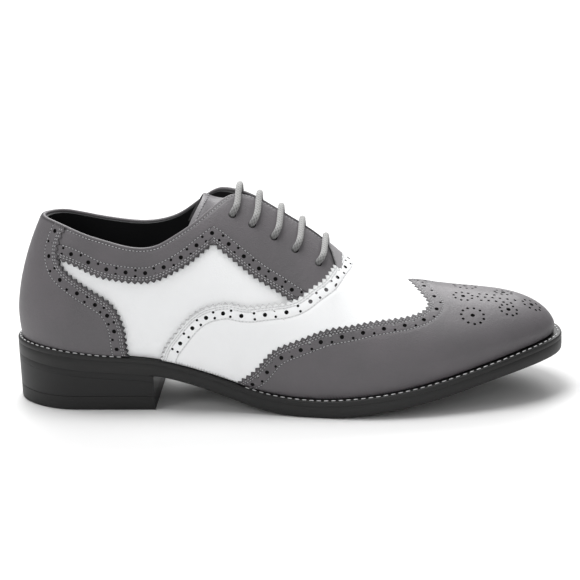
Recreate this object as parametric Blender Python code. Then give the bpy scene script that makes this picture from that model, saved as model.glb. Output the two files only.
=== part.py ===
# Spectator shoe, right foot: a two colour wing tip Oxford on a leather sole with a stacked heel.
# X runs from the heel to the toe, -Y is the outer side of the foot, Z is up from the floor.
import bpy
import numpy as np
from mathutils import Vector
from mathutils.geometry import delaunay_2d_cdt

MM = 0.001

# Driving sizes
SOLE_LENGTH = 305.0 * MM
BALL_WIDTH = 108.0 * MM
BACK_HEIGHT = 105.7 * MM
WELT_THICK = 2.6 * MM
SEAT = 0.3 * MM
HEEL_LENGTH = 79.5 * MM
LIFT_THICK = 8.0 * MM
HEEL_TAPER = 0.4 * MM
LIFT_TAPER = 0.3 * MM
SOLE_TAPER = 0.6 * MM
SOLE_TAPER_SHARE = 0.3

# Leather layers, measured inwards from the outer face of the form
WALL_OUT = -1.6 * MM
WALL_IN = -3.4 * MM
PANEL_SEAT = 0.4 * MM
PANEL_IN = WALL_OUT + PANEL_SEAT
COUNTER_OUT = 0.0 * MM
FACING_OUT = -0.1 * MM
VAMP_OUT = 0.0 * MM
WING_OUT = 0.5 * MM
TONGUE_OUT = WALL_IN - 1.0 * MM
TONGUE_THICK = 1.6 * MM
WELT_UNDER_WALL = 1.0 * MM
INSOLE_MARGIN = 0.4 * MM
INSOLE_RISE = 2.5 * MM
LACE_RADIUS = 1.7 * MM
LACE_CREST = 0.15 * MM
SEAM_GAP = 0.35 * MM

# The sole, as shares: along of the length, the half widths of the ball width, the heights of the back height
SOLE_TABLE = [
    # along, outer half, inner half, top of the edge, underside
    (0.00, 0.262, 0.262, 0.336, 0.250),
    (0.08, 0.296, 0.294, 0.325, 0.233),
    (0.16, 0.310, 0.300, 0.297, 0.208),
    (0.25, 0.320, 0.288, 0.279, 0.190),
    (0.33, 0.340, 0.268, 0.230, 0.138),
    (0.40, 0.374, 0.266, 0.166, 0.074),
    (0.45, 0.412, 0.280, 0.122, 0.029),
    (0.50, 0.447, 0.310, 0.097, 0.003),
    (0.56, 0.487, 0.358, 0.090, -0.006),
    (0.63, 0.511, 0.427, 0.103, 0.011),
    (0.71, 0.500, 0.482, 0.132, 0.044),
    (0.79, 0.447, 0.478, 0.176, 0.089),
    (0.87, 0.366, 0.428, 0.232, 0.146),
    (0.94, 0.280, 0.366, 0.275, 0.183),
    (1.00, 0.220, 0.315, 0.298, 0.204),
]

# How each end of the sole closes: depth as a share of the length, power and root of the curve
HEEL_ROUND = (0.118, 2.1, 2.0)
TOE_ROUND = (0.118, 2.5, 2.0)

# The upper's section along the sole, lengths as shares of the ball width
BODY_TABLE = [
    # along, feather inside the edge, widest line outside it, its rise, end angle, plan power, height power
    (0.00, 0.0296, 0.0111, 0.130, 30, 1.00, 1.25),
    (0.12, 0.0185, 0.0148, 0.130, 34, 1.00, 1.20),
    (0.25, 0.0120, 0.0324, 0.130, 45, 1.00, 1.10),
    (0.38, 0.0185, 0.0333, 0.120, 70, 1.10, 1.05),
    (0.50, 0.0389, 0.0185, 0.111, 84, 1.25, 1.05),
    (0.62, 0.0481, 0.0093, 0.102, 90, 1.30, 1.05),
    (0.75, 0.0500, 0.0074, 0.088, 90, 1.25, 1.05),
    (0.88, 0.0500, 0.0074, 0.065, 90, 1.15, 1.10),
    (1.00, 0.0500, 0.0056, 0.032, 90, 1.20, 1.20),
]

# The top line: collar, then the facing's edge, then the closed ridge of the vamp
TOP_TABLE = [
    # along, half gap over ball width, outer height over back height, inner side's extra height
    (0.061, 0.153, 1.000, 0.000),
    (0.092, 0.179, 0.987, -0.004),
    (0.118, 0.194, 0.964, -0.006),
    (0.151, 0.217, 0.930, -0.003),
    (0.184, 0.233, 0.902, 0.002),
    (0.216, 0.245, 0.877, 0.010),
    (0.252, 0.250, 0.865, 0.018),
    (0.279, 0.247, 0.880, 0.016),
    (0.305, 0.234, 0.918, 0.008),
    (0.331, 0.209, 0.960, 0.019),
    (0.357, 0.170, 1.009, 0.030),
    (0.384, 0.111, 1.061, 0.025),
    (0.403, 0.065, 1.088, 0.007),
    (0.426, 0.030, 1.088, 0.000),
    (0.459, 0.016, 1.046, -0.003),
    (0.492, 0.013, 0.982, -0.002),
    (0.528, 0.011, 0.910, 0.000),
    (0.561, 0.009, 0.838, 0.000),
    (0.593, 0.006, 0.755, 0.000),
    (0.623, 0.000, 0.687, 0.000),
    (0.659, 0.000, 0.638, 0.000),
    (0.715, 0.000, 0.585, 0.000),
    (0.780, 0.000, 0.541, 0.000),
    (0.833, 0.000, 0.517, 0.000),
    (0.892, 0.000, 0.491, 0.000),
]
THROAT_SHARE = 0.593

# The top line fans out past the sole's ends, by these shares of the length
BACK_LEAN_SHARE = 0.061
BACK_FAN_SHARE = 0.203
TOE_LEAN_SHARE = 0.108
TOE_FAN_SHARE = 0.295
COLLAR_ROUND = (0.085, 2.2, 2.0)

# The wall turns out of the feather at this angle, over this share of its rise
FOOT_ANGLE = np.radians(40)
LOW_SHARE = 0.22
END_ANGLES = (20, 90)

# Plan line of the instep's ridge: along, towards the inner side over ball width
RIDGE_TABLE = [(0.0, 0.0), (0.3, 0.0), (0.5, 0.02), (0.7, 0.03), (0.85, 0.036), (1.0, 0.037)]

# Panel edges: along the sole, and up as a share of the way from the welt to the top line
COUNTER_EDGE = [
    (0.216, 0.00), (0.214, 0.10), (0.213, 0.21), (0.204, 0.39), (0.185, 0.51), (0.156, 0.58),
    (0.122, 0.65), (0.090, 0.73), (0.080, 0.81), (0.084, 0.90), (0.096, 1.00),
]
FACING_EDGE = [
    (0.070, 0.760), (0.133, 0.737), (0.168, 0.700), (0.209, 0.690), (0.243, 0.687), (0.276, 0.692),
    (0.310, 0.707), (0.340, 0.722), (0.360, 0.735), (0.378, 0.742), (0.400, 0.660), (0.428, 0.597),
    (0.456, 0.562), (0.485, 0.543), (0.514, 0.521), (0.540, 0.510),
]
VAMP_EDGE = [
    (0.276, 0.00), (0.284, 0.13), (0.304, 0.275), (0.333, 0.400), (0.357, 0.442), (0.380, 0.452),
    (0.419, 0.449), (0.458, 0.465), (0.496, 0.498), (0.527, 0.539), (0.548, 0.595), (0.569, 0.662),
    (0.589, 0.793), (0.600, 1.00),
]
WING_EDGE = [
    (0.405, 0.00), (0.425, 0.13), (0.447, 0.235), (0.474, 0.304), (0.508, 0.353), (0.552, 0.410),
    (0.605, 0.481), (0.659, 0.546), (0.706, 0.589), (0.734, 0.622), (0.752, 0.660), (0.762, 0.730),
    (0.755, 0.790), (0.740, 0.870), (0.729, 0.940), (0.722, 1.00),
]
FACING_END_SHARE = 0.589
FACING_FRONT_UP = 0.6
VAMP_FRONT_SHARE = 0.80

# Eyelets: along, up, five pairs; the tongue; the laces
EYELETS = [(0.411, 0.850), (0.446, 0.800), (0.484, 0.778), (0.521, 0.762), (0.562, 0.753)]
TONGUE_END_SHARES = (0.345, 0.640)
TONGUE_FREE_SHARE = 0.418
TONGUE_SIDE_SHARE = 0.80
TONGUE_LIFT_SHARE = 0.030
LACE_START_UP = 0.012
LACE_SLANT_SHARE = 0.0075

# The facets: one turn of the ring, how many, where they crowd, and how finely the rest is cut
AROUND = 2.0
STATIONS = 38
ROWS = 9
TURN_MARKS = (0.565, THROAT_SHARE, 0.625)
MARK_CLEAR = 0.35
FOOT_SHARE = 0.08
TOP_NORMAL_UP = 0.985
BEYOND_SHARE = 0.03
LEAST_RISE = 0.02
COUNTER_RING = 0.4
FRONT_RING = 0.3
HEEL_FACET_SHARE = 0.01
TONGUE_CELLS = (12, 8)
BAR_POINTS = 6
BAR_SIDES = 6
OUTLINE_POINTS = 4001
SAME = 1e-5
MERGE = 0.002 * MM
CREASE = np.radians(35)

# Finishes: base colour and roughness
GREY = (0.185, 0.178, 0.190, 1.0), 0.45
WHITE = (0.88, 0.89, 0.90, 1.0), 0.40
SOLE_BLACK = (0.032, 0.032, 0.032, 1.0), 0.50
HEEL_BLACK = (0.027, 0.026, 0.025, 1.0), 0.50
INSOLE_BLACK = (0.012, 0.012, 0.013, 1.0), 0.50
LACE_GREY = (0.46, 0.46, 0.46, 1.0), 0.80


# Start from an empty scene
for old in list(bpy.data.objects):
    bpy.data.objects.remove(old, do_unlink=True)


def curve(table, column, unit=1.0):
    """natural cubic spline through a table's column against its first column, flat beyond its ends"""
    xs = np.array([row[0] for row in table], float)
    ys = np.array([row[column] for row in table], float) * unit
    n = len(xs)
    step = np.diff(xs)
    matrix = np.zeros((n, n))
    right = np.zeros(n)
    matrix[0, 0] = 1.0
    matrix[-1, -1] = 1.0
    for i in range(1, n - 1):
        matrix[i, i - 1:i + 2] = step[i - 1], 2 * (step[i - 1] + step[i]), step[i]
        right[i] = 3 * ((ys[i + 1] - ys[i]) / step[i] - (ys[i] - ys[i - 1]) / step[i - 1])
    bend = np.linalg.solve(matrix, right)

    def value(x):
        x = np.clip(np.asarray(x, float), xs[0], xs[-1])
        k = np.clip(np.searchsorted(xs, x, side="right") - 1, 0, n - 2)
        t = x - xs[k]
        slope = (ys[k + 1] - ys[k]) / step[k] - step[k] * (2 * bend[k] + bend[k + 1]) / 3
        cubic = (bend[k + 1] - bend[k]) / (3 * step[k])
        return ys[k] + t * (slope + t * (bend[k] + t * cubic))
    return value


sole_outer = curve(SOLE_TABLE, 1, BALL_WIDTH)
sole_inner = curve(SOLE_TABLE, 2, BALL_WIDTH)
sole_top = curve(SOLE_TABLE, 3, BACK_HEIGHT)
sole_low = curve(SOLE_TABLE, 4, BACK_HEIGHT)
body = [curve(BODY_TABLE, k, BALL_WIDTH) for k in (1, 2, 3)] + [curve(BODY_TABLE, k) for k in (4, 5, 6)]
top_gap = curve(TOP_TABLE, 1, BALL_WIDTH)
top_height = curve(TOP_TABLE, 2, BACK_HEIGHT)
top_extra = curve(TOP_TABLE, 3, BACK_HEIGHT)
ridge_line = curve(RIDGE_TABLE, 1, BALL_WIDTH)


def station(along):
    """ring position of a share of the length: the stations crowd at both ends"""
    return np.arccos(1 - 2 * np.asarray(along, float)) / np.pi


def share(r):
    """share of the length at a ring position"""
    return (1 - np.cos(np.pi * np.abs(r))) / 2


def wrap(r):
    """ring position in -1 to 1: above 0 the outer side, below 0 the inner side, 0 heel, 1 toe"""
    return (np.asarray(r, float) + 1) % AROUND - 1


def closing(u, power, root):
    """1 inside, falling to 0 at u = 0 as a rounded end"""
    return (1 - np.clip(1 - u, 0, 1) ** power) ** (1 / root)


def sole_edge(r):
    """plan point of the sole's edge at a ring position"""
    r = wrap(r)
    a = share(r)
    half = np.where(r > 0, sole_outer(a), sole_inner(a))
    half = half * closing(a / HEEL_ROUND[0], *HEEL_ROUND[1:]) * closing((1 - a) / TOE_ROUND[0], *TOE_ROUND[1:])
    return np.stack([a * SOLE_LENGTH, np.where(r > 0, -half, half)], -1)


def plan_out(r, step=2e-3):
    """outward plan normal of the sole's edge"""
    d = sole_edge(r + step) - sole_edge(r - step)
    d = d / np.linalg.norm(d, axis=-1)[..., None]
    return np.stack([d[..., 1], -d[..., 0]], -1)


def form(r, t):
    """point of the upper's outer face: t 0 at the welt, 1 on the top line"""
    r, t = np.broadcast_arrays(wrap(r), np.asarray(t, float))
    edge = sole_edge(r)
    out = plan_out(r)
    a = share(r)
    inset, bulge, rise, end, plan_power, height_power = [f(a) for f in body]
    foot = edge - out * inset[..., None]
    wide = foot + out * bulge[..., None]
    z_foot = sole_top(a) + SEAT
    z_wide = z_foot + rise
    back = np.clip((BACK_FAN_SHARE - a) / BACK_FAN_SHARE, 0, 1)
    front = np.clip((a - 1 + TOE_FAN_SHARE) / TOE_FAN_SHARE, 0, 1)
    at = a + BACK_LEAN_SHARE * back ** 2 - TOE_LEAN_SHARE * front ** 2
    open_here = at < THROAT_SHARE - SAME / 1e4
    gap = np.where(open_here, top_gap(at), 0.0)
    gap = gap * closing((at - BACK_LEAN_SHARE) / COLLAR_ROUND[0], *COLLAR_ROUND[1:])
    side = np.where(r > 0, -1.0, 1.0)
    top = np.stack([at * SOLE_LENGTH, ridge_line(at) + side * gap], -1)
    z_top = top_height(at) + np.where((r < 0) & open_here, top_extra(at), 0.0)
    low = t < LOW_SHARE
    turn = FOOT_ANGLE + np.clip(t / LOW_SHARE, 0, 1) * (np.pi / 2 - FOOT_ANGLE)
    w = (np.sin(turn) - np.sin(FOOT_ANGLE)) / (1 - np.sin(FOOT_ANGLE))
    h = 1 - np.cos(turn) / np.cos(FOOT_ANGLE)
    end = np.radians(np.clip(end, *END_ANGLES))
    angle = np.clip((t - LOW_SHARE) / (1 - LOW_SHARE), 0, 1) * end
    fall = np.clip(np.cos(angle), 0, 1) ** plan_power
    last = np.clip(np.cos(end), 0, 1) ** plan_power
    inward = (1 - fall) / (1 - last)
    upward = (np.sin(angle) / np.sin(end)) ** height_power
    lower = foot + (wide - foot) * w[..., None]
    upper = wide + (top - wide) * inward[..., None]
    plan = np.where(low[..., None], lower, upper)
    z = np.where(low, z_foot + rise * h, z_wide + (z_top - z_wide) * upward)
    return np.concatenate([plan, z[..., None]], -1)


def face_out(r, t, step=1e-3):
    """outward normal of the form"""
    t = np.minimum(t, TOP_NORMAL_UP)
    along = form(r + step, t) - form(r - step, t)
    upward = form(r, np.clip(t + step, 0, 1)) - form(r, np.clip(t - step, 0, 1))
    n = np.cross(along, upward)
    return n / np.linalg.norm(n, axis=-1)[..., None]


def on_form(r, t, depth):
    """point at a depth from the form; the foot of the wall stands square on the welt"""
    r = np.asarray(r, float)
    t = np.asarray(t, float)
    n = face_out(r, t)
    ridge = (t > 1 - SAME) & (share(wrap(r)) > THROAT_SHARE - SAME)
    n = np.where(ridge[..., None], n + face_out(-r, t), n)
    n[..., 2] *= np.clip(t / FOOT_SHARE, 0, 1)
    n = n / np.linalg.norm(n, axis=-1)[..., None]
    return form(r, t) + n * depth


def add_object(name, points, faces, finish):
    """one named solid with its own material"""
    mesh = bpy.data.meshes.new(name)
    mesh.from_pydata([tuple(p) for p in points], [], faces)
    mesh.update()
    mesh.shade_smooth()
    mesh.set_sharp_from_angle(angle=CREASE)
    part = bpy.data.objects.new(name, mesh)
    bpy.context.scene.collection.objects.link(part)
    material = bpy.data.materials.new(name)
    material.use_nodes = True
    shader = material.node_tree.nodes["Principled BSDF"]
    shader.inputs["Base Color"].default_value = finish[0]
    shader.inputs["Roughness"].default_value = finish[1]
    mesh.materials.append(material)
    return part


def split(faces):
    """triangles, always cut on the first corner; repeated corners drop out"""
    out = []
    for face in faces:
        ring = [v for i, v in enumerate(face) if v != face[i - 1]]
        for i in range(1, len(ring) - 1):
            tri = (ring[0], ring[i], ring[i + 1])
            if len(set(tri)) == 3:
                out.append(tri)
    return out


def place_key(r, t):
    """one key for places that are the same point: the back seam, the toe and the closed ridge"""
    r = float(wrap(r))
    t = 1.0 if t > 1 - SAME else (0.0 if t < SAME else float(t))
    if abs(r) < SAME or abs(r) > 1 - SAME or (t == 1.0 and share(r) > THROAT_SHARE - SAME):
        r = abs(r)
    return (round(r, 5), round(t, 5))


def inside(point, outline):
    """whether a place lies inside a closed outline"""
    x, y = point
    hit = False
    for (x0, y0), (x1, y1) in zip(outline, outline[1:] + outline[:1]):
        if (y0 > y) != (y1 > y) and x < x0 + (y - y0) * (x1 - x0) / (y1 - y0):
            hit = not hit
    return hit


def on_facets(r, t, depth_points):
    """point of the shared facets at a place, so every layer runs parallel to its neighbours"""
    r = float(r) % AROUND
    i = int(np.clip(np.searchsorted(RING, r, side="right") - 1, 0, len(RING) - 2))
    j = int(np.clip(np.searchsorted(UPS, t, side="right") - 1, 0, len(UPS) - 2))
    u = (r - RING[i]) / (RING[i + 1] - RING[i])
    v = (t - UPS[j]) / (UPS[j + 1] - UPS[j])
    a, b = depth_points[i, j], depth_points[i + 1, j]
    c, d = depth_points[i + 1, j + 1], depth_points[i, j + 1]
    return a + u * (b - a) + v * (c - b) if v <= u else a + v * (d - a) + u * (c - d)


def leather(name, first, last, keep, away, low, high, finish):
    """a closed panel of leather: the shared facets from one ring position to another, cut along outlines,
    inside the kept ones and outside the others, between two depths"""
    whole = [r for turn in (-AROUND, 0) for r in (RING[:-1] + turn)] + [AROUND]
    columns = [r for r in whole if first - SAME < r < last + SAME]
    places = [(r, t) for r in columns for t in UPS]
    m = len(UPS)
    edges = []
    for i in range(len(columns)):
        for j in range(m):
            here = i * m + j
            if j < m - 1:
                edges.append((here, here + 1))
            if i < len(columns) - 1:
                edges.append((here, here + m))
                if j < m - 1:
                    edges.append((here, here + m + 1))
    for outline in keep + away:
        start = len(places)
        places += outline
        count = len(outline)
        edges += [(start + k, start + (k + 1) % count) for k in range(count)]
    scale = (SOLE_LENGTH / MM, BALL_WIDTH / MM)
    flat = [Vector((r * scale[0], t * scale[1])) for r, t in places]
    spots, _, cells, _, _, _ = delaunay_2d_cdt(flat, edges, [], 0, 1e-3)
    spots = [(p.x / scale[0], p.y / scale[1]) for p in spots]
    index = {}
    kept = []
    faces = []
    for cell in cells:
        x = sum(spots[v][0] for v in cell) / 3
        y = sum(spots[v][1] for v in cell) / 3
        if not (columns[0] < x < columns[-1] and 0 < y < 1):
            continue
        if keep and not any(inside((x, y), outline) for outline in keep):
            continue
        if any(inside((x, y), outline) for outline in away):
            continue
        (x0, y0), (x1, y1), (x2, y2) = [spots[v] for v in cell]
        order = cell if (x1 - x0) * (y2 - y0) > (x2 - x0) * (y1 - y0) else cell[::-1]
        face = []
        for v in order:
            key = place_key(*spots[v])
            if key not in index:
                index[key] = len(kept)
                kept.append(key)
            face.append(index[key])
        faces.append(tuple(face))
    faces = split(faces)
    points = []
    for depth in (high, low):
        if depth not in LAYERS:
            r, t = np.meshgrid(RING, UPS, indexing="ij")
            LAYERS[depth] = on_form(r, t, depth)
        points += [on_facets(r, t, LAYERS[depth]) for r, t in kept]
    n = len(kept)
    seen = set()
    for a, b, c in faces:
        seen.update(((a, b), (b, c), (c, a)))
    rims = [(b, a, a + n, b + n) for a, b in sorted(seen) if (b, a) not in seen]
    inner = [(c + n, b + n, a + n) for a, b, c in faces]
    return add_object(name, points, faces + inner + split(rims), finish)


def line_on(table, sign=1, clear=0.0):
    """a panel edge as ring places, moved to its left by a true distance; sign -1 is the inner side"""
    x = np.array([row[0] for row in table]) * SOLE_LENGTH
    y = np.array([row[1] for row in table]) * BALL_WIDTH
    along = np.stack([np.gradient(x), np.gradient(y)], -1)
    along = along / np.linalg.norm(along, axis=1)[:, None]
    x = x - along[:, 1] * clear
    y = y + along[:, 0] * clear
    a = np.clip(x / SOLE_LENGTH, 0, 1)
    r = station(a)
    return [(float(p), float(q)) for p, q in zip(r if sign > 0 else AROUND - r, y / BALL_WIDTH)]


def slab(name, stations, levels, finish):
    """a plate across the shoe: each level has a plan inset from the sole's edge and a height"""
    points = []
    for inset, height in levels:
        for side in (1, -1):
            r = side * np.maximum(stations, SAME / 1e4)
            plan = sole_edge(r) - plan_out(r) * inset(share(r))[..., None]
            z = height(np.clip(plan[..., 0] / SOLE_LENGTH, 0, 1))
            points.append(np.concatenate([plan, z[..., None]], -1))
    n = len(stations)
    faces = []
    count = len(levels)
    for k in range(count):
        outer, inner = 2 * k * n, (2 * k + 1) * n
        for i in range(n - 1):
            if k == 0:
                faces.append((outer + i, inner + i, inner + i + 1, outer + i + 1))
            if k == count - 1:
                faces.append((outer + i, outer + i + 1, inner + i + 1, inner + i))
            else:
                up_outer, up_inner = outer + 2 * n, inner + 2 * n
                faces.append((outer + i, outer + i + 1, up_outer + i + 1, up_outer + i))
                faces.append((inner + i + 1, inner + i, up_inner + i, up_inner + i + 1))
    for k in range(count - 1):
        outer, inner = 2 * k * n, (2 * k + 1) * n
        last = n - 1
        faces.append((outer + last, inner + last, inner + 2 * n + last, outer + 2 * n + last))
        faces.append((inner, outer, outer + 2 * n, inner + 2 * n))
    points = np.concatenate(points)
    index = {}
    merged = []
    remap = []
    for p in points:
        key = tuple(np.round(p / MERGE).astype(int))
        if key not in index:
            index[key] = len(merged)
            merged.append(p)
        remap.append(index[key])
    faces = split([tuple(remap[v] for v in face) for face in faces])
    return add_object(name, merged, faces, finish)


def hoop(name, stations, outer_inset, inner_inset, low, high, finish):
    """a ring round the shoe between two plan insets and two heights"""
    ring = np.concatenate([stations[:-1], AROUND - stations[::-1][:-1]])
    n = len(ring)
    a = share(wrap(ring))
    points = []
    for inset, height in ((outer_inset, low), (outer_inset, high), (inner_inset, high), (inner_inset, low)):
        plan = sole_edge(ring) - plan_out(ring) * inset(a)[..., None]
        x = np.clip(plan[..., 0] / SOLE_LENGTH, 0, 1)
        points.append(np.concatenate([plan, height(x)[..., None]], -1))
    faces = []
    for k in range(4):
        for i in range(n):
            j = (i + 1) % n
            m = (k + 1) % 4
            faces.append((k * n + i, k * n + j, m * n + j, m * n + i))
    return add_object(name, np.concatenate(points), split(faces), finish)


def cord(name, path, radius, sides, finish):
    """a round cord along a path, with flat ends"""
    path = np.asarray(path)
    tangent = np.gradient(path, axis=0)
    tangent = tangent / np.linalg.norm(tangent, axis=1)[:, None]
    side = np.cross(tangent, (1.0, 0.0, 0.0))
    side = side / np.linalg.norm(side, axis=1)[:, None]
    up = np.cross(side, tangent)
    turn = np.linspace(0, 2 * np.pi, sides, endpoint=False)
    rings = path[:, None] + radius * (
        side[:, None] * np.cos(turn)[None, :, None] + up[:, None] * np.sin(turn)[None, :, None])
    n = len(path)
    faces = []
    for i in range(n - 1):
        for k in range(sides):
            m = (k + 1) % sides
            faces.append((i * sides + k, (i + 1) * sides + k, (i + 1) * sides + m, i * sides + m))
    faces.append(tuple(range(sides)))
    faces.append(tuple((n - 1) * sides + k for k in range(sides))[::-1])
    return add_object(name, rings.reshape(-1, 3), split(faces), finish)


def all_stations():
    """stations that every layer shares: even ones, and closer ones where the instep turns"""
    marks = [float(station(a)) for a in TURN_MARKS]
    even = np.linspace(0, 1, STATIONS + 1)
    even = [s for s in even if all(abs(s - m) > MARK_CLEAR / STATIONS for m in marks)]
    return np.array(sorted(marks + even))


SHARED = all_stations()
RING = np.concatenate([SHARED, AROUND - SHARED[::-1][1:]])
UPS = np.linspace(0, 1, ROWS + 1)
LAYERS = {}

# Upper: the white quarters with their lining, one wall from the welt to the top line
leather("upper", 0.0, AROUND, [], [], WALL_IN, WALL_OUT, WHITE)

# Outlines of the panels on each side, from below the welt to above the top line


def closed_by(line, corners, sign):
    """an outline from an edge and the corners that close it"""
    extra = [(float(station(a)) if sign > 0 else AROUND - float(station(a)), t) for a, t in corners]
    return line + extra


def past_ends(table):
    """the same edge run on past the welt and the top line, in its own direction"""
    (a0, t0), (a1, t1) = table[0], table[1]
    (b0, u0), (b1, u1) = table[-1], table[-2]
    first = (a0 + (a0 - a1) * BEYOND_SHARE / max(abs(t1 - t0), LEAST_RISE), t0 - BEYOND_SHARE)
    last = (b0 + (b0 - b1) * BEYOND_SHARE / max(abs(u1 - u0), LEAST_RISE), u0 + BEYOND_SHARE)
    return [first] + list(table) + [last]


def wing_outline(clear):
    """both wings and the toe in one, across the ridge from peak to peak"""
    edge = past_ends(WING_EDGE)
    return line_on(edge, 1, clear) + line_on(edge, -1, clear)[::-1]


def vamp_outline(sign, clear):
    """one side of the vamp, from its arched rear edge forward"""
    line = line_on(past_ends(VAMP_EDGE), sign, clear)
    return closed_by(line, [(VAMP_FRONT_SHARE, 1 + BEYOND_SHARE), (VAMP_FRONT_SHARE, -BEYOND_SHARE)], sign)


def facing_outline(sign):
    """one facing: its lower edge from the counter forward, then up and back along the top line"""
    corners = [FACING_EDGE[-1], (FACING_END_SHARE, FACING_FRONT_UP), (FACING_END_SHARE, 1 + BEYOND_SHARE),
               (FACING_EDGE[0][0], 1 + BEYOND_SHARE)]
    return closed_by(line_on(FACING_EDGE, sign), corners, sign)


def counter_outline(clear):
    """the heel piece, open at the welt and the collar, the same on both sides"""
    outer = line_on(past_ends(COUNTER_EDGE), 1, clear)
    inner = [(-r, t) for r, t in outer]
    return outer + inner[::-1]


# Counter: the grey heel piece, wrapped round the back in one
leather("counter", -COUNTER_RING, COUNTER_RING, [counter_outline(0.0)], [], PANEL_IN, COUNTER_OUT, GREY)

# Vamp: white, from its arched rear edge to the wing cap
leather("vamp", FRONT_RING, AROUND - FRONT_RING, [vamp_outline(1, 0.0), vamp_outline(-1, 0.0)],
        [wing_outline(SEAM_GAP)], PANEL_IN, VAMP_OUT, WHITE)

# Wing cap: two arms along the welt and a peak on the ridge, in one with the toe
leather("wing_cap", FRONT_RING, AROUND - FRONT_RING, [wing_outline(0.0)], [], PANEL_IN, WING_OUT, GREY)

# Facings: grey collar and lace panels, one each side, from the counter to the vamp
counter_clear = counter_outline(-SEAM_GAP)
leather("facing_outer", 0.0, 1.0, [facing_outline(1)], [counter_clear, vamp_outline(1, SEAM_GAP)],
        PANEL_IN, FACING_OUT, GREY)
leather("facing_inner", 1.0, AROUND, [facing_outline(-1)],
        [[(AROUND + r, t) for r, t in counter_clear], vamp_outline(-1, SEAM_GAP)], PANEL_IN, FACING_OUT, GREY)

# Welt, outsole, heel and top lift: each function gives an inset or a height at a share of the length


def flat(value):
    """the same inset or height all along"""
    return lambda a: value + 0.0 * a


def welt_low(a):
    """underside of the welt"""
    return sole_top(a) - WELT_THICK


def welt_inner(a):
    """the welt reaches in under the wall, past its inner face"""
    return body[0](a) - WALL_IN + WELT_UNDER_WALL


def outsole_low(a):
    """tread, never below the floor"""
    return np.maximum(sole_low(a), 0.0)


def outsole_top(a):
    """top of the outsole, just clear of the welt"""
    return welt_low(a) - SEAT


def outsole_bevel(a):
    """where the tapered foot of the outsole's edge ends"""
    return outsole_low(a) + (outsole_top(a) - outsole_low(a)) * SOLE_TAPER_SHARE


def heel_top(a):
    """the heel under the outsole's seat"""
    return sole_low(a) - SEAT


def insole_inset(a):
    """the insole lies inside the welt"""
    return welt_inner(a) + INSOLE_MARGIN


def insole_low(a):
    """the insole on the outsole"""
    return outsole_top(a) + SEAT


def insole_high(a):
    """face of the sock"""
    return sole_top(a) + INSOLE_RISE


hoop("welt", SHARED, flat(0.0), welt_inner, welt_low, sole_top, SOLE_BLACK)
slab("outsole", SHARED, [(flat(SOLE_TAPER), outsole_low), (flat(0.0), outsole_bevel), (flat(0.0), outsole_top)],
     SOLE_BLACK)
heel_end = HEEL_LENGTH / SOLE_LENGTH
heel_stations = [s for s in SHARED if share(s) < heel_end - HEEL_FACET_SHARE]
heel_stations = np.array(heel_stations + [float(station(heel_end))])
slab("heel", heel_stations, [(flat(LIFT_TAPER), flat(LIFT_THICK + SEAT)), (flat(0.0), heel_top)], HEEL_BLACK)
slab("heel_top_lift", heel_stations, [(flat(HEEL_TAPER), flat(0.0)), (flat(LIFT_TAPER), flat(LIFT_THICK))],
     HEEL_BLACK)

# Insole: one board with its sock, on the outsole and inside the welt
slab("insole", SHARED, [(insole_inset, insole_low), (insole_inset, insole_high)], INSOLE_BLACK)

# Tongue: an arched sheet under the facings, its foot under the vamp
tongue_spots = np.linspace(*TONGUE_END_SHARES, TONGUE_CELLS[0] + 1)
tongue_cross = np.linspace(-1, 1, TONGUE_CELLS[1] + 1)


def tongue_point(a, u, depth):
    """under the facings it follows the form; its free end runs on above the collar, nearly level"""
    held = max(a, TONGUE_FREE_SHARE)
    r = float(station(held)) * (1 if u < 0 else -1)
    t = 1 - (1 - TONGUE_SIDE_SHARE) * abs(u)
    point = on_form(np.array([r, -r]), np.array([t, t]), depth)
    point = point.mean(axis=0) if u == 0 else point[0]
    free = (held - a) / (TONGUE_FREE_SHARE - TONGUE_END_SHARES[0])
    lift = TONGUE_LIFT_SHARE * (free - free ** 2 / 2)
    return point + np.array(((a - held) * SOLE_LENGTH, 0, lift * BACK_HEIGHT))


points = []
for depth in (TONGUE_OUT, TONGUE_OUT - TONGUE_THICK):
    for a in tongue_spots:
        for u in tongue_cross:
            points.append(tongue_point(a, u, depth))
m, n = len(tongue_cross), len(tongue_spots) * len(tongue_cross)
faces = []
for i in range(len(tongue_spots) - 1):
    for j in range(m - 1):
        a, b, c, d = i * m + j, (i + 1) * m + j, (i + 1) * m + j + 1, i * m + j + 1
        faces.append((a, b, c, d))
        faces.append((d + n, c + n, b + n, a + n))
for i in range(len(tongue_spots) - 1):
    a, b = i * m, (i + 1) * m
    faces.append((b, a, a + n, b + n))
    a, b = i * m + m - 1, (i + 1) * m + m - 1
    faces.append((a, b, b + n, a + n))
for j in range(m - 1):
    a, b = j, j + 1
    faces.append((a, b, b + n, a + n))
    a, b = n - m + j, n - m + j + 1
    faces.append((b, a, a + n, b + n))
add_object("tongue", points, split(faces), GREY)

# Laces: five bars over the facings, each slanting forwards from its outer eyelet up to the crest
bar_depth = FACING_OUT + 2 * SEAT + LACE_RADIUS
for number, (along, up) in enumerate(EYELETS, 1):
    ups = np.linspace(up + LACE_START_UP, 1.0, BAR_POINTS)
    outer = on_form(station(along + LACE_SLANT_SHARE * np.linspace(0, 1, BAR_POINTS)), ups, bar_depth)
    inner = on_form(-station(np.full(BAR_POINTS, along + LACE_SLANT_SHARE)), ups, bar_depth)
    crest = (outer[-1] + inner[-1]) / 2 + np.array((0, 0, LACE_CREST))
    path = np.concatenate([outer, crest[None], inner[::-1]])
    cord("lace_bar_%d" % number, path, LACE_RADIUS, BAR_SIDES, LACE_GREY)

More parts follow.
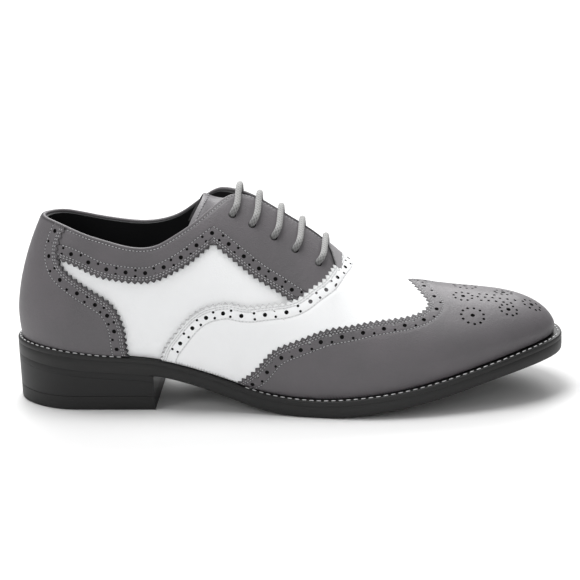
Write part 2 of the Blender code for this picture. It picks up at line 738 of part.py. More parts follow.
# Stand the shoe on the floor with the middle of its outline over the origin
edge = sole_edge(np.linspace(-1, 1, OUTLINE_POINTS))
shift = -(edge.min(axis=0) + edge.max(axis=0)) / 2
for part in bpy.data.objects:
    for vertex in part.data.vertices:
        vertex.co.x += shift[0]
        vertex.co.y += shift[1]
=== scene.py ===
import bpy
import numpy as np
from mathutils import Matrix, Vector
from mathutils.bvhtree import BVHTree
from mathutils.geometry import delaunay_2d_cdt


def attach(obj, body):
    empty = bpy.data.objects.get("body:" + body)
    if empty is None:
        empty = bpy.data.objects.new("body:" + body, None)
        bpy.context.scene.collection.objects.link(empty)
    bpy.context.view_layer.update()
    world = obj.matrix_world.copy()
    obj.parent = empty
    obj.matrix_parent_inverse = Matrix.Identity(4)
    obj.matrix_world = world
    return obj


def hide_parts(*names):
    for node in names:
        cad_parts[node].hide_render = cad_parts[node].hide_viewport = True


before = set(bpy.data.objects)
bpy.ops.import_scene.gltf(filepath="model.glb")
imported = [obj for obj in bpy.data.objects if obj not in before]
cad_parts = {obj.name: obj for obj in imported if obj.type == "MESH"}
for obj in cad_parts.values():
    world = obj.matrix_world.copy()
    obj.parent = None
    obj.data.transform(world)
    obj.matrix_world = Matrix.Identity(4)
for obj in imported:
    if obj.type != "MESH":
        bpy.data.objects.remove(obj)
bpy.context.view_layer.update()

# QUARTERS AND LINING
# White full grain quarters closed over the last, with a black lining bonded inside. The wall is one closed
# skin from the feather to the top line, open at the collar and throat and underneath.

SOLE_LENGTH = 305.0
BALL_WIDTH = 108.0
BACK_HEIGHT = 105.7
SEAT = 0.3
SOLE_TABLE = [
    # along, outer half, inner half, top of the edge, underside
    (0.00, 0.262, 0.262, 0.336, 0.250), (0.08, 0.296, 0.294, 0.325, 0.233),
    (0.16, 0.310, 0.300, 0.297, 0.208), (0.25, 0.320, 0.288, 0.279, 0.190),
    (0.33, 0.340, 0.268, 0.230, 0.138), (0.40, 0.374, 0.266, 0.166, 0.074),
    (0.45, 0.412, 0.280, 0.122, 0.029), (0.50, 0.447, 0.310, 0.097, 0.003),
    (0.56, 0.487, 0.358, 0.090, -0.006), (0.63, 0.511, 0.427, 0.103, 0.011),
    (0.71, 0.500, 0.482, 0.132, 0.044), (0.79, 0.447, 0.478, 0.176, 0.089),
    (0.87, 0.366, 0.428, 0.232, 0.146), (0.94, 0.280, 0.366, 0.275, 0.183),
    (1.00, 0.220, 0.315, 0.298, 0.204),
]
HEEL_ROUND = (0.118, 2.1, 2.0)
TOE_ROUND = (0.118, 2.5, 2.0)
BODY_TABLE = [
    # along, feather inside the edge, widest line outside it, its rise, end angle, plan power, height power
    (0.00, 0.0296, 0.0111, 0.130, 30, 1.00, 1.25), (0.12, 0.0185, 0.0148, 0.130, 34, 1.00, 1.20),
    (0.25, 0.0120, 0.0324, 0.130, 45, 1.00, 1.10), (0.38, 0.0185, 0.0333, 0.120, 70, 1.10, 1.05),
    (0.50, 0.0389, 0.0185, 0.111, 84, 1.25, 1.05), (0.62, 0.0481, 0.0093, 0.102, 90, 1.30, 1.05),
    (0.75, 0.0500, 0.0074, 0.088, 90, 1.25, 1.05), (0.88, 0.0500, 0.0074, 0.065, 90, 1.15, 1.10),
    (1.00, 0.0500, 0.0056, 0.032, 90, 1.20, 1.20),
]
TOP_TABLE = [
    # along, half gap over ball width, outer height over back height, inner side's extra height
    (0.061, 0.153, 1.000, 0.000), (0.092, 0.179, 0.987, -0.004), (0.118, 0.194, 0.964, -0.006),
    (0.151, 0.217, 0.930, -0.003), (0.184, 0.233, 0.902, 0.002), (0.216, 0.245, 0.877, 0.010),
    (0.252, 0.250, 0.865, 0.018), (0.279, 0.247, 0.880, 0.016), (0.305, 0.234, 0.918, 0.008),
    (0.331, 0.209, 0.960, 0.019), (0.357, 0.170, 1.009, 0.030), (0.384, 0.111, 1.061, 0.025),
    (0.403, 0.065, 1.088, 0.007), (0.426, 0.030, 1.088, 0.000), (0.459, 0.016, 1.046, -0.003),
    (0.492, 0.013, 0.982, -0.002), (0.528, 0.011, 0.910, 0.000), (0.561, 0.009, 0.838, 0.000),
    (0.593, 0.006, 0.755, 0.000), (0.623, 0.000, 0.687, 0.000), (0.659, 0.000, 0.638, 0.000),
    (0.715, 0.000, 0.585, 0.000), (0.780, 0.000, 0.541, 0.000), (0.833, 0.000, 0.517, 0.000),
    (0.892, 0.000, 0.491, 0.000),
]
RIDGE_TABLE = [(0.0, 0.0), (0.3, 0.0), (0.5, 0.02), (0.7, 0.03), (0.85, 0.036), (1.0, 0.037)]
THROAT = 0.593
BACK_LEAN, BACK_FAN = 0.061, 0.203
TOE_LEAN, TOE_FAN = 0.108, 0.295
COLLAR_ROUND = (0.085, 2.2, 2.0)
LOW_SHARE = 0.22
FOOT_ANGLE = np.radians(40)
FOOT_SHARE = 0.08
WALL_OUT, WALL_IN = -1.6, -3.4
NORMAL_TOP = 0.985


def curve(table, column, unit=1.0):
    """natural cubic spline through a table's column against its first column, flat beyond its ends"""
    xs = np.array([row[0] for row in table], float)
    ys = np.array([row[column] for row in table], float) * unit
    n = len(xs)
    step = np.diff(xs)
    matrix, right = np.zeros((n, n)), np.zeros(n)
    matrix[0, 0] = matrix[-1, -1] = 1.0
    for i in range(1, n - 1):
        matrix[i, i - 1:i + 2] = step[i - 1], 2 * (step[i - 1] + step[i]), step[i]
        right[i] = 3 * ((ys[i + 1] - ys[i]) / step[i] - (ys[i] - ys[i - 1]) / step[i - 1])
    bend = np.linalg.solve(matrix, right)

    def value(x):
        x = np.clip(np.asarray(x, float), xs[0], xs[-1])
        k = np.clip(np.searchsorted(xs, x, side="right") - 1, 0, n - 2)
        t = x - xs[k]
        slope = (ys[k + 1] - ys[k]) / step[k] - step[k] * (2 * bend[k] + bend[k + 1]) / 3
        return ys[k] + t * (slope + t * (bend[k] + t * (bend[k + 1] - bend[k]) / (3 * step[k])))
    return value


sole_outer, sole_inner = curve(SOLE_TABLE, 1, BALL_WIDTH), curve(SOLE_TABLE, 2, BALL_WIDTH)
sole_top, sole_low = curve(SOLE_TABLE, 3, BACK_HEIGHT), curve(SOLE_TABLE, 4, BACK_HEIGHT)
body = [curve(BODY_TABLE, k, BALL_WIDTH) for k in (1, 2, 3)] + [curve(BODY_TABLE, k) for k in (4, 5, 6)]
top_gap = curve(TOP_TABLE, 1, BALL_WIDTH)
top_height, top_extra = curve(TOP_TABLE, 2, BACK_HEIGHT), curve(TOP_TABLE, 3, BACK_HEIGHT)
ridge_line = curve(RIDGE_TABLE, 1, BALL_WIDTH)


def unit(v):
    """the same directions at length 1"""
    return v / np.linalg.norm(v, axis=-1)[..., None]


def station(along):
    """ring position of a share of the length: half a turn of a cosine, so stations crowd at both ends"""
    return np.arccos(1 - 2 * np.clip(along, 0, 1)) / np.pi


def share(r):
    """share of the length at a ring position"""
    return (1 - np.cos(np.pi * np.abs(r))) / 2


def wrap(r):
    """ring position in -1 to 1: above 0 the outer side, below 0 the inner side, 0 heel, 1 toe"""
    return (np.asarray(r, float) + 1) % 2 - 1


def closing(u, reach, power, root):
    """1 inside, falling to 0 at u = 0 as a rounded end over its reach"""
    return (1 - np.clip(1 - u / reach, 0, 1) ** power) ** (1 / root)


def sole_edge(r):
    """plan of the sole's edge: the half width of its side, closed round at both ends"""
    r = wrap(r)
    a = share(r)
    half = np.where(r > 0, sole_outer(a), sole_inner(a))
    half = half * closing(a, *HEEL_ROUND) * closing(1 - a, *TOE_ROUND)
    return np.stack([a * SOLE_LENGTH, np.where(r > 0, -half, half)], -1)


def plan_out(r, step=2e-3):
    """outward plan normal of the sole's edge, from a difference along it"""
    d = unit(sole_edge(r + step) - sole_edge(r - step))
    return np.stack([d[..., 1], -d[..., 0]], -1)


def form(r, t):
    """the last's outer face: a foot that turns out of the feather, then a rounded wall up to t = 1"""
    r, t = np.broadcast_arrays(wrap(r), np.asarray(t, float))
    out = plan_out(r)
    a = share(r)
    inset, bulge, rise, end, plan_power, height_power = [f(a) for f in body]
    foot = sole_edge(r) - out * inset[..., None]
    wide = foot + out * bulge[..., None]
    z_foot = sole_top(a) + SEAT
    back = np.clip((BACK_FAN - a) / BACK_FAN, 0, 1)
    front = np.clip((a - 1 + TOE_FAN) / TOE_FAN, 0, 1)
    at = a + BACK_LEAN * back ** 2 - TOE_LEAN * front ** 2
    open_here = at < THROAT - 1e-9
    gap = np.where(open_here, top_gap(at), 0.0) * closing(at - BACK_LEAN, *COLLAR_ROUND)
    side = np.where(r > 0, -1.0, 1.0)
    top = np.stack([at * SOLE_LENGTH, ridge_line(at) + side * gap], -1)
    z_top = top_height(at) + np.where((r < 0) & open_here, top_extra(at), 0.0)
    turn = FOOT_ANGLE + np.clip(t / LOW_SHARE, 0, 1) * (np.pi / 2 - FOOT_ANGLE)
    w = (np.sin(turn) - np.sin(FOOT_ANGLE)) / (1 - np.sin(FOOT_ANGLE))
    h = 1 - np.cos(turn) / np.cos(FOOT_ANGLE)
    end = np.radians(np.clip(end, 20, 90))
    angle = np.clip((t - LOW_SHARE) / (1 - LOW_SHARE), 0, 1) * end
    fall = np.clip(np.cos(angle), 0, 1) ** plan_power
    last = np.clip(np.cos(end), 0, 1) ** plan_power
    inward = ((1 - fall) / (1 - last))[..., None]
    upward = (np.sin(angle) / np.sin(end)) ** height_power
    low = foot + (wide - foot) * w[..., None]
    plan = np.where((t < LOW_SHARE)[..., None], low, wide + (top - wide) * inward)
    z = np.where(t < LOW_SHARE, z_foot + rise * h, z_foot + rise + (z_top - z_foot - rise) * upward)
    return np.concatenate([plan, z[..., None]], -1)


def face_out(r, t, step=1e-3):
    """outward normal of the form: the cross product of its differences along and up"""
    t = np.minimum(t, NORMAL_TOP)
    along = form(r + step, t) - form(r - step, t)
    upward = form(r, np.clip(t + step, 0, 1)) - form(r, np.clip(t - step, 0, 1))
    return unit(np.cross(along, upward))


def on_form(r, t, depth):
    """point at a depth from the form; the foot of the wall stands square on the welt"""
    r, t, depth = np.broadcast_arrays(np.asarray(r, float), np.asarray(t, float), np.asarray(depth, float))
    n = face_out(r, t)
    ridge = (t > 1 - 1e-6) & (share(wrap(r)) > THROAT - 1e-6)
    n = np.where(ridge[..., None], n + face_out(-r, t), n)
    n[..., 2] *= np.clip(t / FOOT_SHARE, 0, 1)
    return form(r, t) + unit(n) * depth[..., None]


plan = sole_edge(np.linspace(-1, 1, 4001))
SHIFT = np.append(-(plan.min(axis=0) + plan.max(axis=0)) / 2, 0.0)


def fill(tree, made, **sockets):
    """fills in a shader node: its settings, links from other sockets, or plain values"""
    for key, value in sockets.items():
        if hasattr(made, key):
            setattr(made, key, value)
        elif isinstance(value, bpy.types.NodeSocket):
            tree.links.new(value, made.inputs[key.replace("_", " ")])
        else:
            made.inputs[key.replace("_", " ")].default_value = value
    return made


def node(tree, kind, **sockets):
    """one new shader node, filled in"""
    return fill(tree, tree.nodes.new(kind), **sockets)


def noise(tree, place, scale, detail):
    """soft noise, its scale in features per metre"""
    return node(tree, "ShaderNodeTexNoise", Vector=place, Scale=scale, Detail=detail).outputs["Fac"]


def mixed(tree, part, colours, blend="MIX"):
    """two colours mixed by a part; each is three numbers or a socket"""
    made = node(tree, "ShaderNodeMix", data_type="RGBA", blend_type=blend)
    tree.links.new(part, made.inputs[0])
    for k, colour in enumerate(colours, 6):
        if isinstance(colour, bpy.types.NodeSocket):
            tree.links.new(colour, made.inputs[k])
        else:
            made.inputs[k].default_value = (*colour, 1)
    return made.outputs[2]


def painted_shade_part(tree):
    """the piece's own painted shade attribute, from 0 to 1"""
    return node(tree, "ShaderNodeAttribute", attribute_name="painted_shade").outputs["Fac"]


def blank(name):
    """a new material, its node tree and its Object coordinates"""
    material = bpy.data.materials.new(name)
    material.use_nodes = True
    tree = material.node_tree
    return material, tree, node(tree, "ShaderNodeTexCoord").outputs["Object"]


def surface(tree, colour, height, relief, **sockets):
    """the shader's colour, its relief (strength, then depth in metres) and its further sockets"""
    bump = node(tree, "ShaderNodeBump", Strength=relief[0], Distance=relief[1], Height=height).outputs[0]
    fill(tree, tree.nodes["Principled BSDF"], Base_Color=colour, Normal=bump, **sockets)


PEBBLE_SCALE, CREASE_SCALE, MOTTLE_SCALE, DIRT_SCALE = 1500.0, 420.0, 34.0, 45.0


def leather(name, colour, tone, rough, grain, coat=0.25, painted_shade_dark=0.45):
    """smooth finished leather: fine pebble from cells and noise, faint mottling, a thin polished coat;
    painted shade from the piece's attribute darkens its stitch channels and cut edges"""
    material, tree, place = blank(name)
    pebble = node(tree, "ShaderNodeTexVoronoi", Vector=place, Scale=PEBBLE_SCALE, feature="SMOOTH_F1")
    crease = noise(tree, place, CREASE_SCALE, 4.0)
    height = node(tree, "ShaderNodeMath", operation="ADD")
    for source, socket in zip((pebble.outputs["Distance"], crease), height.inputs):
        tree.links.new(source, socket)
    tint = mixed(tree, noise(tree, place, MOTTLE_SCALE, 3.0), (colour, tone))
    # painted shade: the colour is multiplied towards a dark tone where the piece's attribute marks stitch
    # channels and cut edges
    painted_shade_tint = mixed(tree, painted_shade_part(tree), (tint, [painted_shade_dark] * 3), "MULTIPLY")
    gloss = node(tree, "ShaderNodeMapRange", Value=crease, To_Min=rough - 0.05, To_Max=rough + 0.07)
    surface(tree, painted_shade_tint, height.outputs[0], (grain, 0.00035), Roughness=gloss.outputs[0], Coat_Weight=coat,
            Coat_Roughness=0.24, Specular_IOR_Level=0.45)
    return material


def plain(name, colour, rough, bump_scale=900.0, bump=0.15, spread=0.8):
    """one colour with faint variation and a fine noise relief"""
    material, tree, place = blank(name)
    tones = [c * spread for c in colour], [c / spread for c in colour]
    tint = mixed(tree, noise(tree, place, DIRT_SCALE, 2.0), tones)
    surface(tree, tint, noise(tree, place, bump_scale, 3.0), (bump, 0.0003), Roughness=rough,
            Specular_IOR_Level=0.32)
    return material


def add_piece(name, points, faces, materials, nodes=(), index=None, painted_shade=None, sharp=40.0):
    """one named piece from arrays, points in mm in the last's frame and faces as rows of corners; it rides on
    the shoe, takes a finish slot and stands for its solids"""
    faces = np.asarray(faces)
    used, remap = np.unique(faces, return_inverse=True)
    faces = remap.reshape(faces.shape)
    mesh = bpy.data.meshes.new(name)
    mesh.vertices.add(len(used))
    mesh.vertices.foreach_set("co", ((points[used] + SHIFT) * 0.001).astype(np.float32).ravel())
    mesh.loops.add(faces.size)
    mesh.loops.foreach_set("vertex_index", faces.ravel().astype(np.int32))
    mesh.polygons.add(len(faces))
    mesh.polygons.foreach_set("loop_start", np.arange(0, faces.size, faces.shape[1], dtype=np.int32))
    mesh.update(calc_edges=True)
    for material in materials:
        mesh.materials.append(material)
    if index is not None:
        mesh.polygons.foreach_set("material_index", index.astype(np.int32))
    # the painted shade values, one for each point, which the finishes read to darken their colour where shade
    # falls
    if painted_shade is not None:
        values = mesh.attributes.new("painted_shade", "FLOAT", "POINT")
        values.data.foreach_set("value", painted_shade[used].astype(np.float32))
    mesh.validate()
    mesh.shade_smooth()
    mesh.set_sharp_from_angle(angle=np.radians(sharp))
    piece = bpy.data.objects.new(name, mesh)
    bpy.context.scene.collection.objects.link(piece)
    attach(piece, "root")
    if nodes:
        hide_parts(*nodes)


def grid_faces(rows, columns, start=0, close=False, flip=False):
    """quads of a grid of points, rows by columns; close joins the last column to the first"""
    i = np.arange(rows - 1)[:, None] * columns + start
    j = np.arange(columns if close else columns - 1)
    k = (j + 1) % columns
    quad = np.stack([i + j, i + k, i + k + columns, i + j + columns], -1).reshape(-1, 4)
    return quad[:, ::-1] if flip else quad


def ribbon(a, b, down):
    """quads from a row of sides to the points that lie further down the list"""
    return np.stack([a, b, b + down, a + down], -1)


def circle(sides):
    """equal angles round a circle"""
    return np.linspace(0, 2 * np.pi, sides, endpoint=False)


def halves(quads):
    """each quad as two triangles"""
    return np.concatenate([quads[:, [0, 1, 2]], quads[:, [0, 2, 3]]])


def weld(points, faces, step=0.004):
    """points of a closed skin that fall together become one"""
    keys = np.round(points / step).astype(np.int64)
    _, first, back = np.unique(keys, axis=0, return_index=True, return_inverse=True)
    return points[first], back.reshape(-1)[faces]


GREY = (0.078, 0.077, 0.080)
GREY_TONE = (0.126, 0.113, 0.123)
WHITE, WHITE_TONE = (0.85, 0.86, 0.87), (0.86, 0.865, 0.87)
# the last number of each leather is the dark tone of its painted shade in stitch channels and along cut edges
grey_leather = leather("grey_leather", GREY, GREY_TONE, 0.54, grain=0.40, coat=0.08, painted_shade_dark=0.22)
white_leather = leather("white_leather", WHITE, WHITE_TONE, 0.44, grain=0.18, coat=0.2, painted_shade_dark=0.55)
lining = plain("black_lining", (0.010, 0.010, 0.011), 0.62, 1400.0, 0.25)

RING_CELLS, RISE_CELLS = 360, 56
TOP_CUT = 0.986  # the layers stop here where the top line is open, and the folded edge finishes it
ring = np.linspace(-1, 1, RING_CELLS, endpoint=False)
open_top = share(ring) < THROAT
t_grid = np.linspace(0, 1, RISE_CELLS)[:, None] * np.where(open_top, TOP_CUT, 1.0)
skins = [on_form(ring, t_grid, depth).reshape(-1, 3) for depth in (WALL_OUT, WALL_IN)]
count = RING_CELLS * RISE_CELLS
low_row = np.arange(RING_CELLS)
low_after = np.roll(low_row, -1)
top_row, top_after = low_row + count - RING_CELLS, low_after + count - RING_CELLS
rim = np.stack([top_row, top_row + count, top_after + count, top_after], -1)[open_top | np.roll(open_top, -1)]
parts = [grid_faces(RISE_CELLS, RING_CELLS, close=True, flip=True),
         grid_faces(RISE_CELLS, RING_CELLS, start=count, close=True), rim, ribbon(low_row, low_after, count)]
points, faces = weld(np.concatenate(skins), np.concatenate(parts))
add_piece("quarters", points, faces, [white_leather, lining], ["upper"],
          index=np.repeat([0, 1, 1, 1], [len(part) for part in parts]))


# COUNTER
# The heel counter: one grey piece wrapped round the back, its front edge pinked, with two rows of stitching,
# a row of brogue holes and an inner row. It is sewn over the quarters.

COUNTER_EDGE = [
    (0.216, 0.00), (0.214, 0.10), (0.213, 0.21), (0.204, 0.39), (0.185, 0.51), (0.156, 0.58),
    (0.122, 0.65), (0.090, 0.73), (0.080, 0.81), (0.084, 0.90), (0.096, 1.00),
]
PINK_PITCH, PINK_DEPTH = 3.45, 1.45
ROW_ONE, ROW_TWO, HOLE_ROW, ROW_IN = 1.7, 2.9, 5.3, 8.3
BIG_HOLE, SMALL_HOLE, HOLE_LIMIT, PAIR_APART = 1.18, 0.76, 0.9, 1.65
COLLAR_PITCH, WING_PITCH = 10.4, 11.3
STITCH_PITCH, STITCH_LONG = 1.95, 1.25
BACK_SCALE = (360.0, 100.0)
HOLE_CLEAR, TOOTH_CLEAR = 1.25, 0.3
EXTRA_GAP, ROW_GAP, SCATTER_GAP = 0.25, 0.45, 0.55
CHANNEL_DEEP, CHANNEL_SIDE, CHANNEL_STEP = 0.16, 0.55, 1.1
EDGE_DROP, RIM_DROP, HOLE_DEEP = 0.22, 0.06, 1.3
PANEL_LOW = WALL_OUT - 0.15
THREAD_THICK, THREAD_WIDE = 0.24, 0.25


class BackChart:
    """flat map of the sides and back: ring position across, rise up, in rough mm"""
    def flat(self, r, t):
        """map places of ring positions and rises"""
        return np.stack([np.asarray(r, float) * BACK_SCALE[0], np.asarray(t, float) * BACK_SCALE[1]], -1)

    def lift(self, q):
        """ring positions and rises of map places"""
        return q[..., 0] / BACK_SCALE[0], np.clip(q[..., 1] / BACK_SCALE[1], 0, 1)

    def keep(self, q):
        """the places moved inside the map's ends, so that slopes can be measured there"""
        return np.stack([q[..., 0], np.clip(q[..., 1], 0.5, BACK_SCALE[1] - 0.5)], -1)


def spot(chart, q, depth=0.0):
    """point of the form under a place of the map"""
    return on_form(*chart.lift(q), depth)


def slopes(chart, q, step=0.2):
    """how the surface point moves with the two directions of the map"""
    q = chart.keep(q)
    return np.stack([(spot(chart, q + d) - spot(chart, q - d)) / (2 * step) for d in np.eye(2) * step], -1)


def step_off(chart, q, heading, sideways, parts=3):
    """places at a true distance to the left of a heading on the surface, walked in a few short steps"""
    for _ in range(parts):
        jac = slopes(chart, q)
        ahead = unit(np.einsum("nij,nj->ni", jac, heading))
        left = np.cross(unit(np.cross(jac[..., 0], jac[..., 1])), ahead)
        move = left * (sideways / parts * np.ones(len(q)))[:, None]
        q = q + np.einsum("nij,nj->ni", np.linalg.pinv(jac), move)
    return q


def lengths(points):
    """length along a line of points at each of them"""
    return np.concatenate([[0], np.cumsum(np.linalg.norm(np.diff(points, axis=0), axis=1))])


def read_at(points, along, s):
    """points of a line at the lengths s, by straight parts"""
    return np.stack([np.interp(s, along, points[:, k]) for k in range(points.shape[1])], -1)


def splined(points, step=None, fine=24):
    """spline through points over their own length, read at an even step or a number of times per point"""
    s = lengths(points[:, :3])
    table = np.concatenate([s[:, None], points], 1)
    wanted = np.arange(0, s[-1], step) if step else np.linspace(0, s[-1], fine * len(points))
    return np.stack([curve(table, k + 1)(wanted) for k in range(points.shape[1])], -1)


class Line:
    """a line on the form, read by true length from its start"""
    def __init__(self, chart, q):
        self.chart, self.q = chart, q
        self.s = lengths(spot(chart, q))
        self.length = self.s[-1]

    def at(self, s):
        """map places at lengths from the start"""
        return read_at(self.q, self.s, s)

    def beside(self, s, sideways, step=0.6):
        """map places at a true distance to the left of the line"""
        heading = self.at(np.minimum(s + step, self.length)) - self.at(np.maximum(s - step, 0))
        return step_off(self.chart, self.at(s), heading, sideways)


def drawn(table, sign):
    """smooth line through a table of (along, up), on one side of the back map"""
    a, t = np.array(table).T
    return splined(back_chart.flat(station(a) * sign, t))


def inside(points, ring_of_points):
    """whether each place lies inside a closed outline, by counting crossings"""
    x, y = points[:, 0], points[:, 1]
    hit = np.zeros(len(points), bool)
    ends = np.roll(ring_of_points, -1, axis=0)
    for (x0, y0), (x1, y1) in zip(ring_of_points, ends):
        if y0 != y1:
            hit ^= ((y0 > y) != (y1 > y)) & (x < x0 + (y - y0) * (x1 - x0) / (y1 - y0))
    return hit


def nearest(points, others):
    """distance from each place to the closest of the others, in slices"""
    best = np.full(len(points), 1e9)
    for i in range(0, len(others), 256):
        d = points[:, None] - others[None, i:i + 256]
        best = np.minimum(best, np.sqrt((d ** 2).sum(-1)).min(axis=1))
    return best


def pinked(line):
    """saw teeth along a line: short flats at tips and valleys, straight flanks"""
    teeth = int(line.length / PINK_PITCH)
    place = np.array((0.0, 0.06, 0.44, 0.5, 0.56, 0.94))
    lean = np.array((0.5, 0.44, -0.44, -0.5, -0.44, 0.44))
    s = (np.arange(teeth)[:, None] + place).ravel() * line.length / teeth
    return line.beside(s, -np.tile(lean, teeth) * PINK_DEPTH)


def brogued(line, pitch, sideways=HOLE_ROW, start=0.5):
    """one big hole, then a pair side by side, over and over"""
    count = int(line.length / pitch)
    big = (np.arange(count) + start) * line.length / count
    pair = (np.arange(count) + (start + 0.5) % 1) * line.length / count
    holes = [(q, BIG_HOLE) for q in line.beside(big, sideways)]
    for apart in (-PAIR_APART, PAIR_APART):
        holes += [(q, SMALL_HOLE) for q in line.beside(pair, sideways + apart)]
    return holes


def stitch_row(line, sideways=0.0, keep=None, step=0.8):
    """the line of one row of stitches, beside another line"""
    s = np.arange(0, line.length, step)
    q = line.beside(s, sideways) if sideways else line.at(s)
    return Line(line.chart, q if keep is None else q[keep(q)])


def outside_holes(points, centres, sizes):
    """the points that lie in no punched hole"""
    for q, size in zip(centres, sizes):
        points = points[np.linalg.norm(points - q, axis=1) > size * HOLE_CLEAR]
    return points


def area(a, b, c):
    """twice the area of flat triangles, above 0 where they turn left"""
    return (b[:, 0] - a[:, 0]) * (c[:, 1] - a[:, 1]) - (c[:, 0] - a[:, 0]) * (b[:, 1] - a[:, 1])


def hole_rims(chart, centres, sizes, sides):
    """rings in the map that are true circles on the surface"""
    turn = circle(sides)[:, None]
    jac = slopes(chart, centres)
    u = unit(jac[..., 0])
    v = unit(jac[..., 1] - u * np.einsum("ni,ni->n", u, jac[..., 1])[:, None])
    rim = u[:, None] * np.cos(turn) + v[:, None] * np.sin(turn)
    return centres[:, None] + np.einsum("nij,nkj->nki", np.linalg.pinv(jac), rim * sizes[:, None, None])


def open_sides(tri):
    """sides of triangles that no other triangle shares"""
    sides = np.concatenate([tri[:, [0, 1]], tri[:, [1, 2]], tri[:, [2, 0]]])
    more = sides.max(initial=0) + 1
    return sides[~np.isin(sides[:, 0] * more + sides[:, 1], sides[:, 1] * more + sides[:, 0])].T


FREE, EDGE, RIM, CHANNEL = range(4)


def panel(name, chart, outline, holes, rows, high, materials, nodes=(), cell=2.1,
          extra=np.zeros((0, 2))):
    """one cut panel of leather: the outline, its holes, the stitch channels and an even scatter of points are
    joined into triangles on the map, then raised to the form; walls, floors and a back close it"""
    places, kinds, ids, edges = [], [], [], []

    def add(q, kind, hole=-1):
        """adds places of one kind, and gives their numbers"""
        start = sum(len(part) for part in places)
        for part, value in ((kinds, kind), (ids, hole)):
            part.append(np.zeros(len(q), int) + value)
        places.append(q)
        return start + np.arange(len(q))

    def clear_of(q, others, gap):
        """the places inside the outline and away from others"""
        q = q[inside(q, outline)]
        return q[nearest(q, others) > gap]

    k = add(outline, EDGE)
    edges += zip(k, np.roll(k, -1))
    centres = np.array([q for q, _ in holes]).reshape(-1, 2)
    sizes = np.array([size for _, size in holes])
    if len(holes):
        good = inside(centres, outline) & (nearest(centres, outline) > sizes * HOLE_CLEAR + TOOTH_CLEAR)
        centres, sizes = centres[good], sizes[good]
    punched = 0
    for pick, sides in ((sizes > HOLE_LIMIT, 14), (sizes <= HOLE_LIMIT, 10)):
        if pick.any():
            q = hole_rims(chart, centres[pick], sizes[pick], sides).reshape(-1, 2)
            k = add(q, RIM, punched + np.repeat(np.arange(pick.sum()), sides)).reshape(-1, sides)
            edges += zip(k.ravel(), np.roll(k, -1, axis=1).ravel())
            punched += pick.sum()
    fixed = np.concatenate(places)
    add(outside_holes(clear_of(extra, fixed, EXTRA_GAP), centres, sizes), FREE)
    for line in rows:
        s = np.arange(0.3, line.length, CHANNEL_STEP)
        for offset, kind in ((0.0, CHANNEL), (-CHANNEL_SIDE, FREE), (CHANNEL_SIDE, FREE)):
            q = line.beside(s, offset) if offset else line.at(s)
            ok = inside(q, outline) & (nearest(q, fixed) > ROW_GAP)
            place = np.full(len(q), -1)
            place[ok] = add(q[ok], kind)
            if kind == CHANNEL:
                edges += [(a, b) for a, b in zip(place[:-1], place[1:]) if a >= 0 and b >= 0]
    lo, hi = outline.min(axis=0), outline.max(axis=0)
    gx, gy = np.meshgrid(np.arange(lo[0], hi[0], cell), np.arange(lo[1], hi[1], cell * 0.87))
    gx = gx + (np.arange(len(gx)) % 2)[:, None] * cell / 2
    scatter = clear_of(np.stack([gx.ravel(), gy.ravel()], -1), np.concatenate(places), cell * SCATTER_GAP)
    add(outside_holes(scatter, centres, sizes), FREE)
    flat, kinds, ids = [np.concatenate(part) for part in (places, kinds, ids)]
    spots, _, cells, origins, _, _ = delaunay_2d_cdt([Vector(q) for q in flat], edges, [], 0, 1e-5)
    source = np.array([o[0] if o else -1 for o in origins])
    kind, hole = np.where(source >= 0, kinds[source], FREE), np.where(source >= 0, ids[source], -1)
    q, tri = np.array([(p.x, p.y) for p in spots]), np.array(cells)
    tri = np.where((area(*q[tri.T]) < 0)[:, None], tri[:, ::-1], tri)
    tri = tri[inside(q[tri].mean(axis=1), outline)]
    floor = (hole[tri[:, 0]] >= 0) & (hole[tri] == hole[tri[:, :1]]).all(axis=1)
    r, t = chart.lift(q)
    drop = np.array((0.0, EDGE_DROP, RIM_DROP, CHANNEL_DEEP))[kind]
    m = len(q)
    points = np.concatenate([on_form(r, t, depth) for depth in (high - drop, high - HOLE_DEEP, PANEL_LOW)])
    a, b = open_sides(tri)
    parts = [tri[~floor], tri[floor] + m, tri[:, ::-1] + 2 * m, halves(ribbon(b, a, 2 * m)),
             halves(ribbon(*open_sides(tri[floor]), m))]
    # hole floors and hole walls take the third finish, the near-black painted shade
    index = np.repeat([0, 2, 1, 1, 2], [len(part) for part in parts])
    # painted shade: full in the stitch channels, 0.85 along the outline and fading over one cell inwards,
    # none elsewhere
    painted_shade = np.append(np.array((0.0, 0.85, 0.0, 1.0))[kind], np.zeros(2 * m))
    add_piece(name, points, np.concatenate(parts), materials, nodes, index, painted_shade, sharp=50.0)


def around(path, side, lift, wide, high, turn):
    """rings about the points of a path, wide along one direction and high along the other"""
    points = path[..., None, :] + side[..., None, :] * (np.cos(turn) * wide)[..., None]
    return points + lift[..., None, :] * (np.sin(turn) * high)[..., None]


def capsules(name, middle, ahead, material, thick=THREAD_THICK, wide=THREAD_WIDE, up=None):
    """many small rounded threads about their middles, each along its own direction: five rings of six"""
    length = np.linalg.norm(ahead, axis=1)[:, None]
    u = ahead / length
    side = unit(np.cross(u, middle - (middle.mean(axis=0) - np.array((0, 0, 30.0))) if up is None else up))
    along = np.array((-0.5, -0.36, 0.0, 0.36, 0.5))
    fat = np.array((0.35, 0.9, 1.0, 0.9, 0.35))[:, None]
    rings, sides = len(along), 6
    spine = middle[:, None] + u[:, None] * (along * length)[..., None]
    points = around(spine, side[:, None], np.cross(side, u)[:, None], fat * wide, fat * thick, circle(sides))
    k, end = np.arange(1, sides - 1), (rings - 1) * sides
    caps = [np.stack([0 * k, k + 1, k], -1), np.stack([0 * k, k, k + 1], -1) + end]
    one = np.concatenate([halves(grid_faces(rings, sides, close=True))] + caps)
    faces = (one + (np.arange(len(middle)) * rings * sides)[:, None, None]).reshape(-1, 3)
    add_piece(name, points.reshape(-1, 3), faces, [material], sharp=80.0)


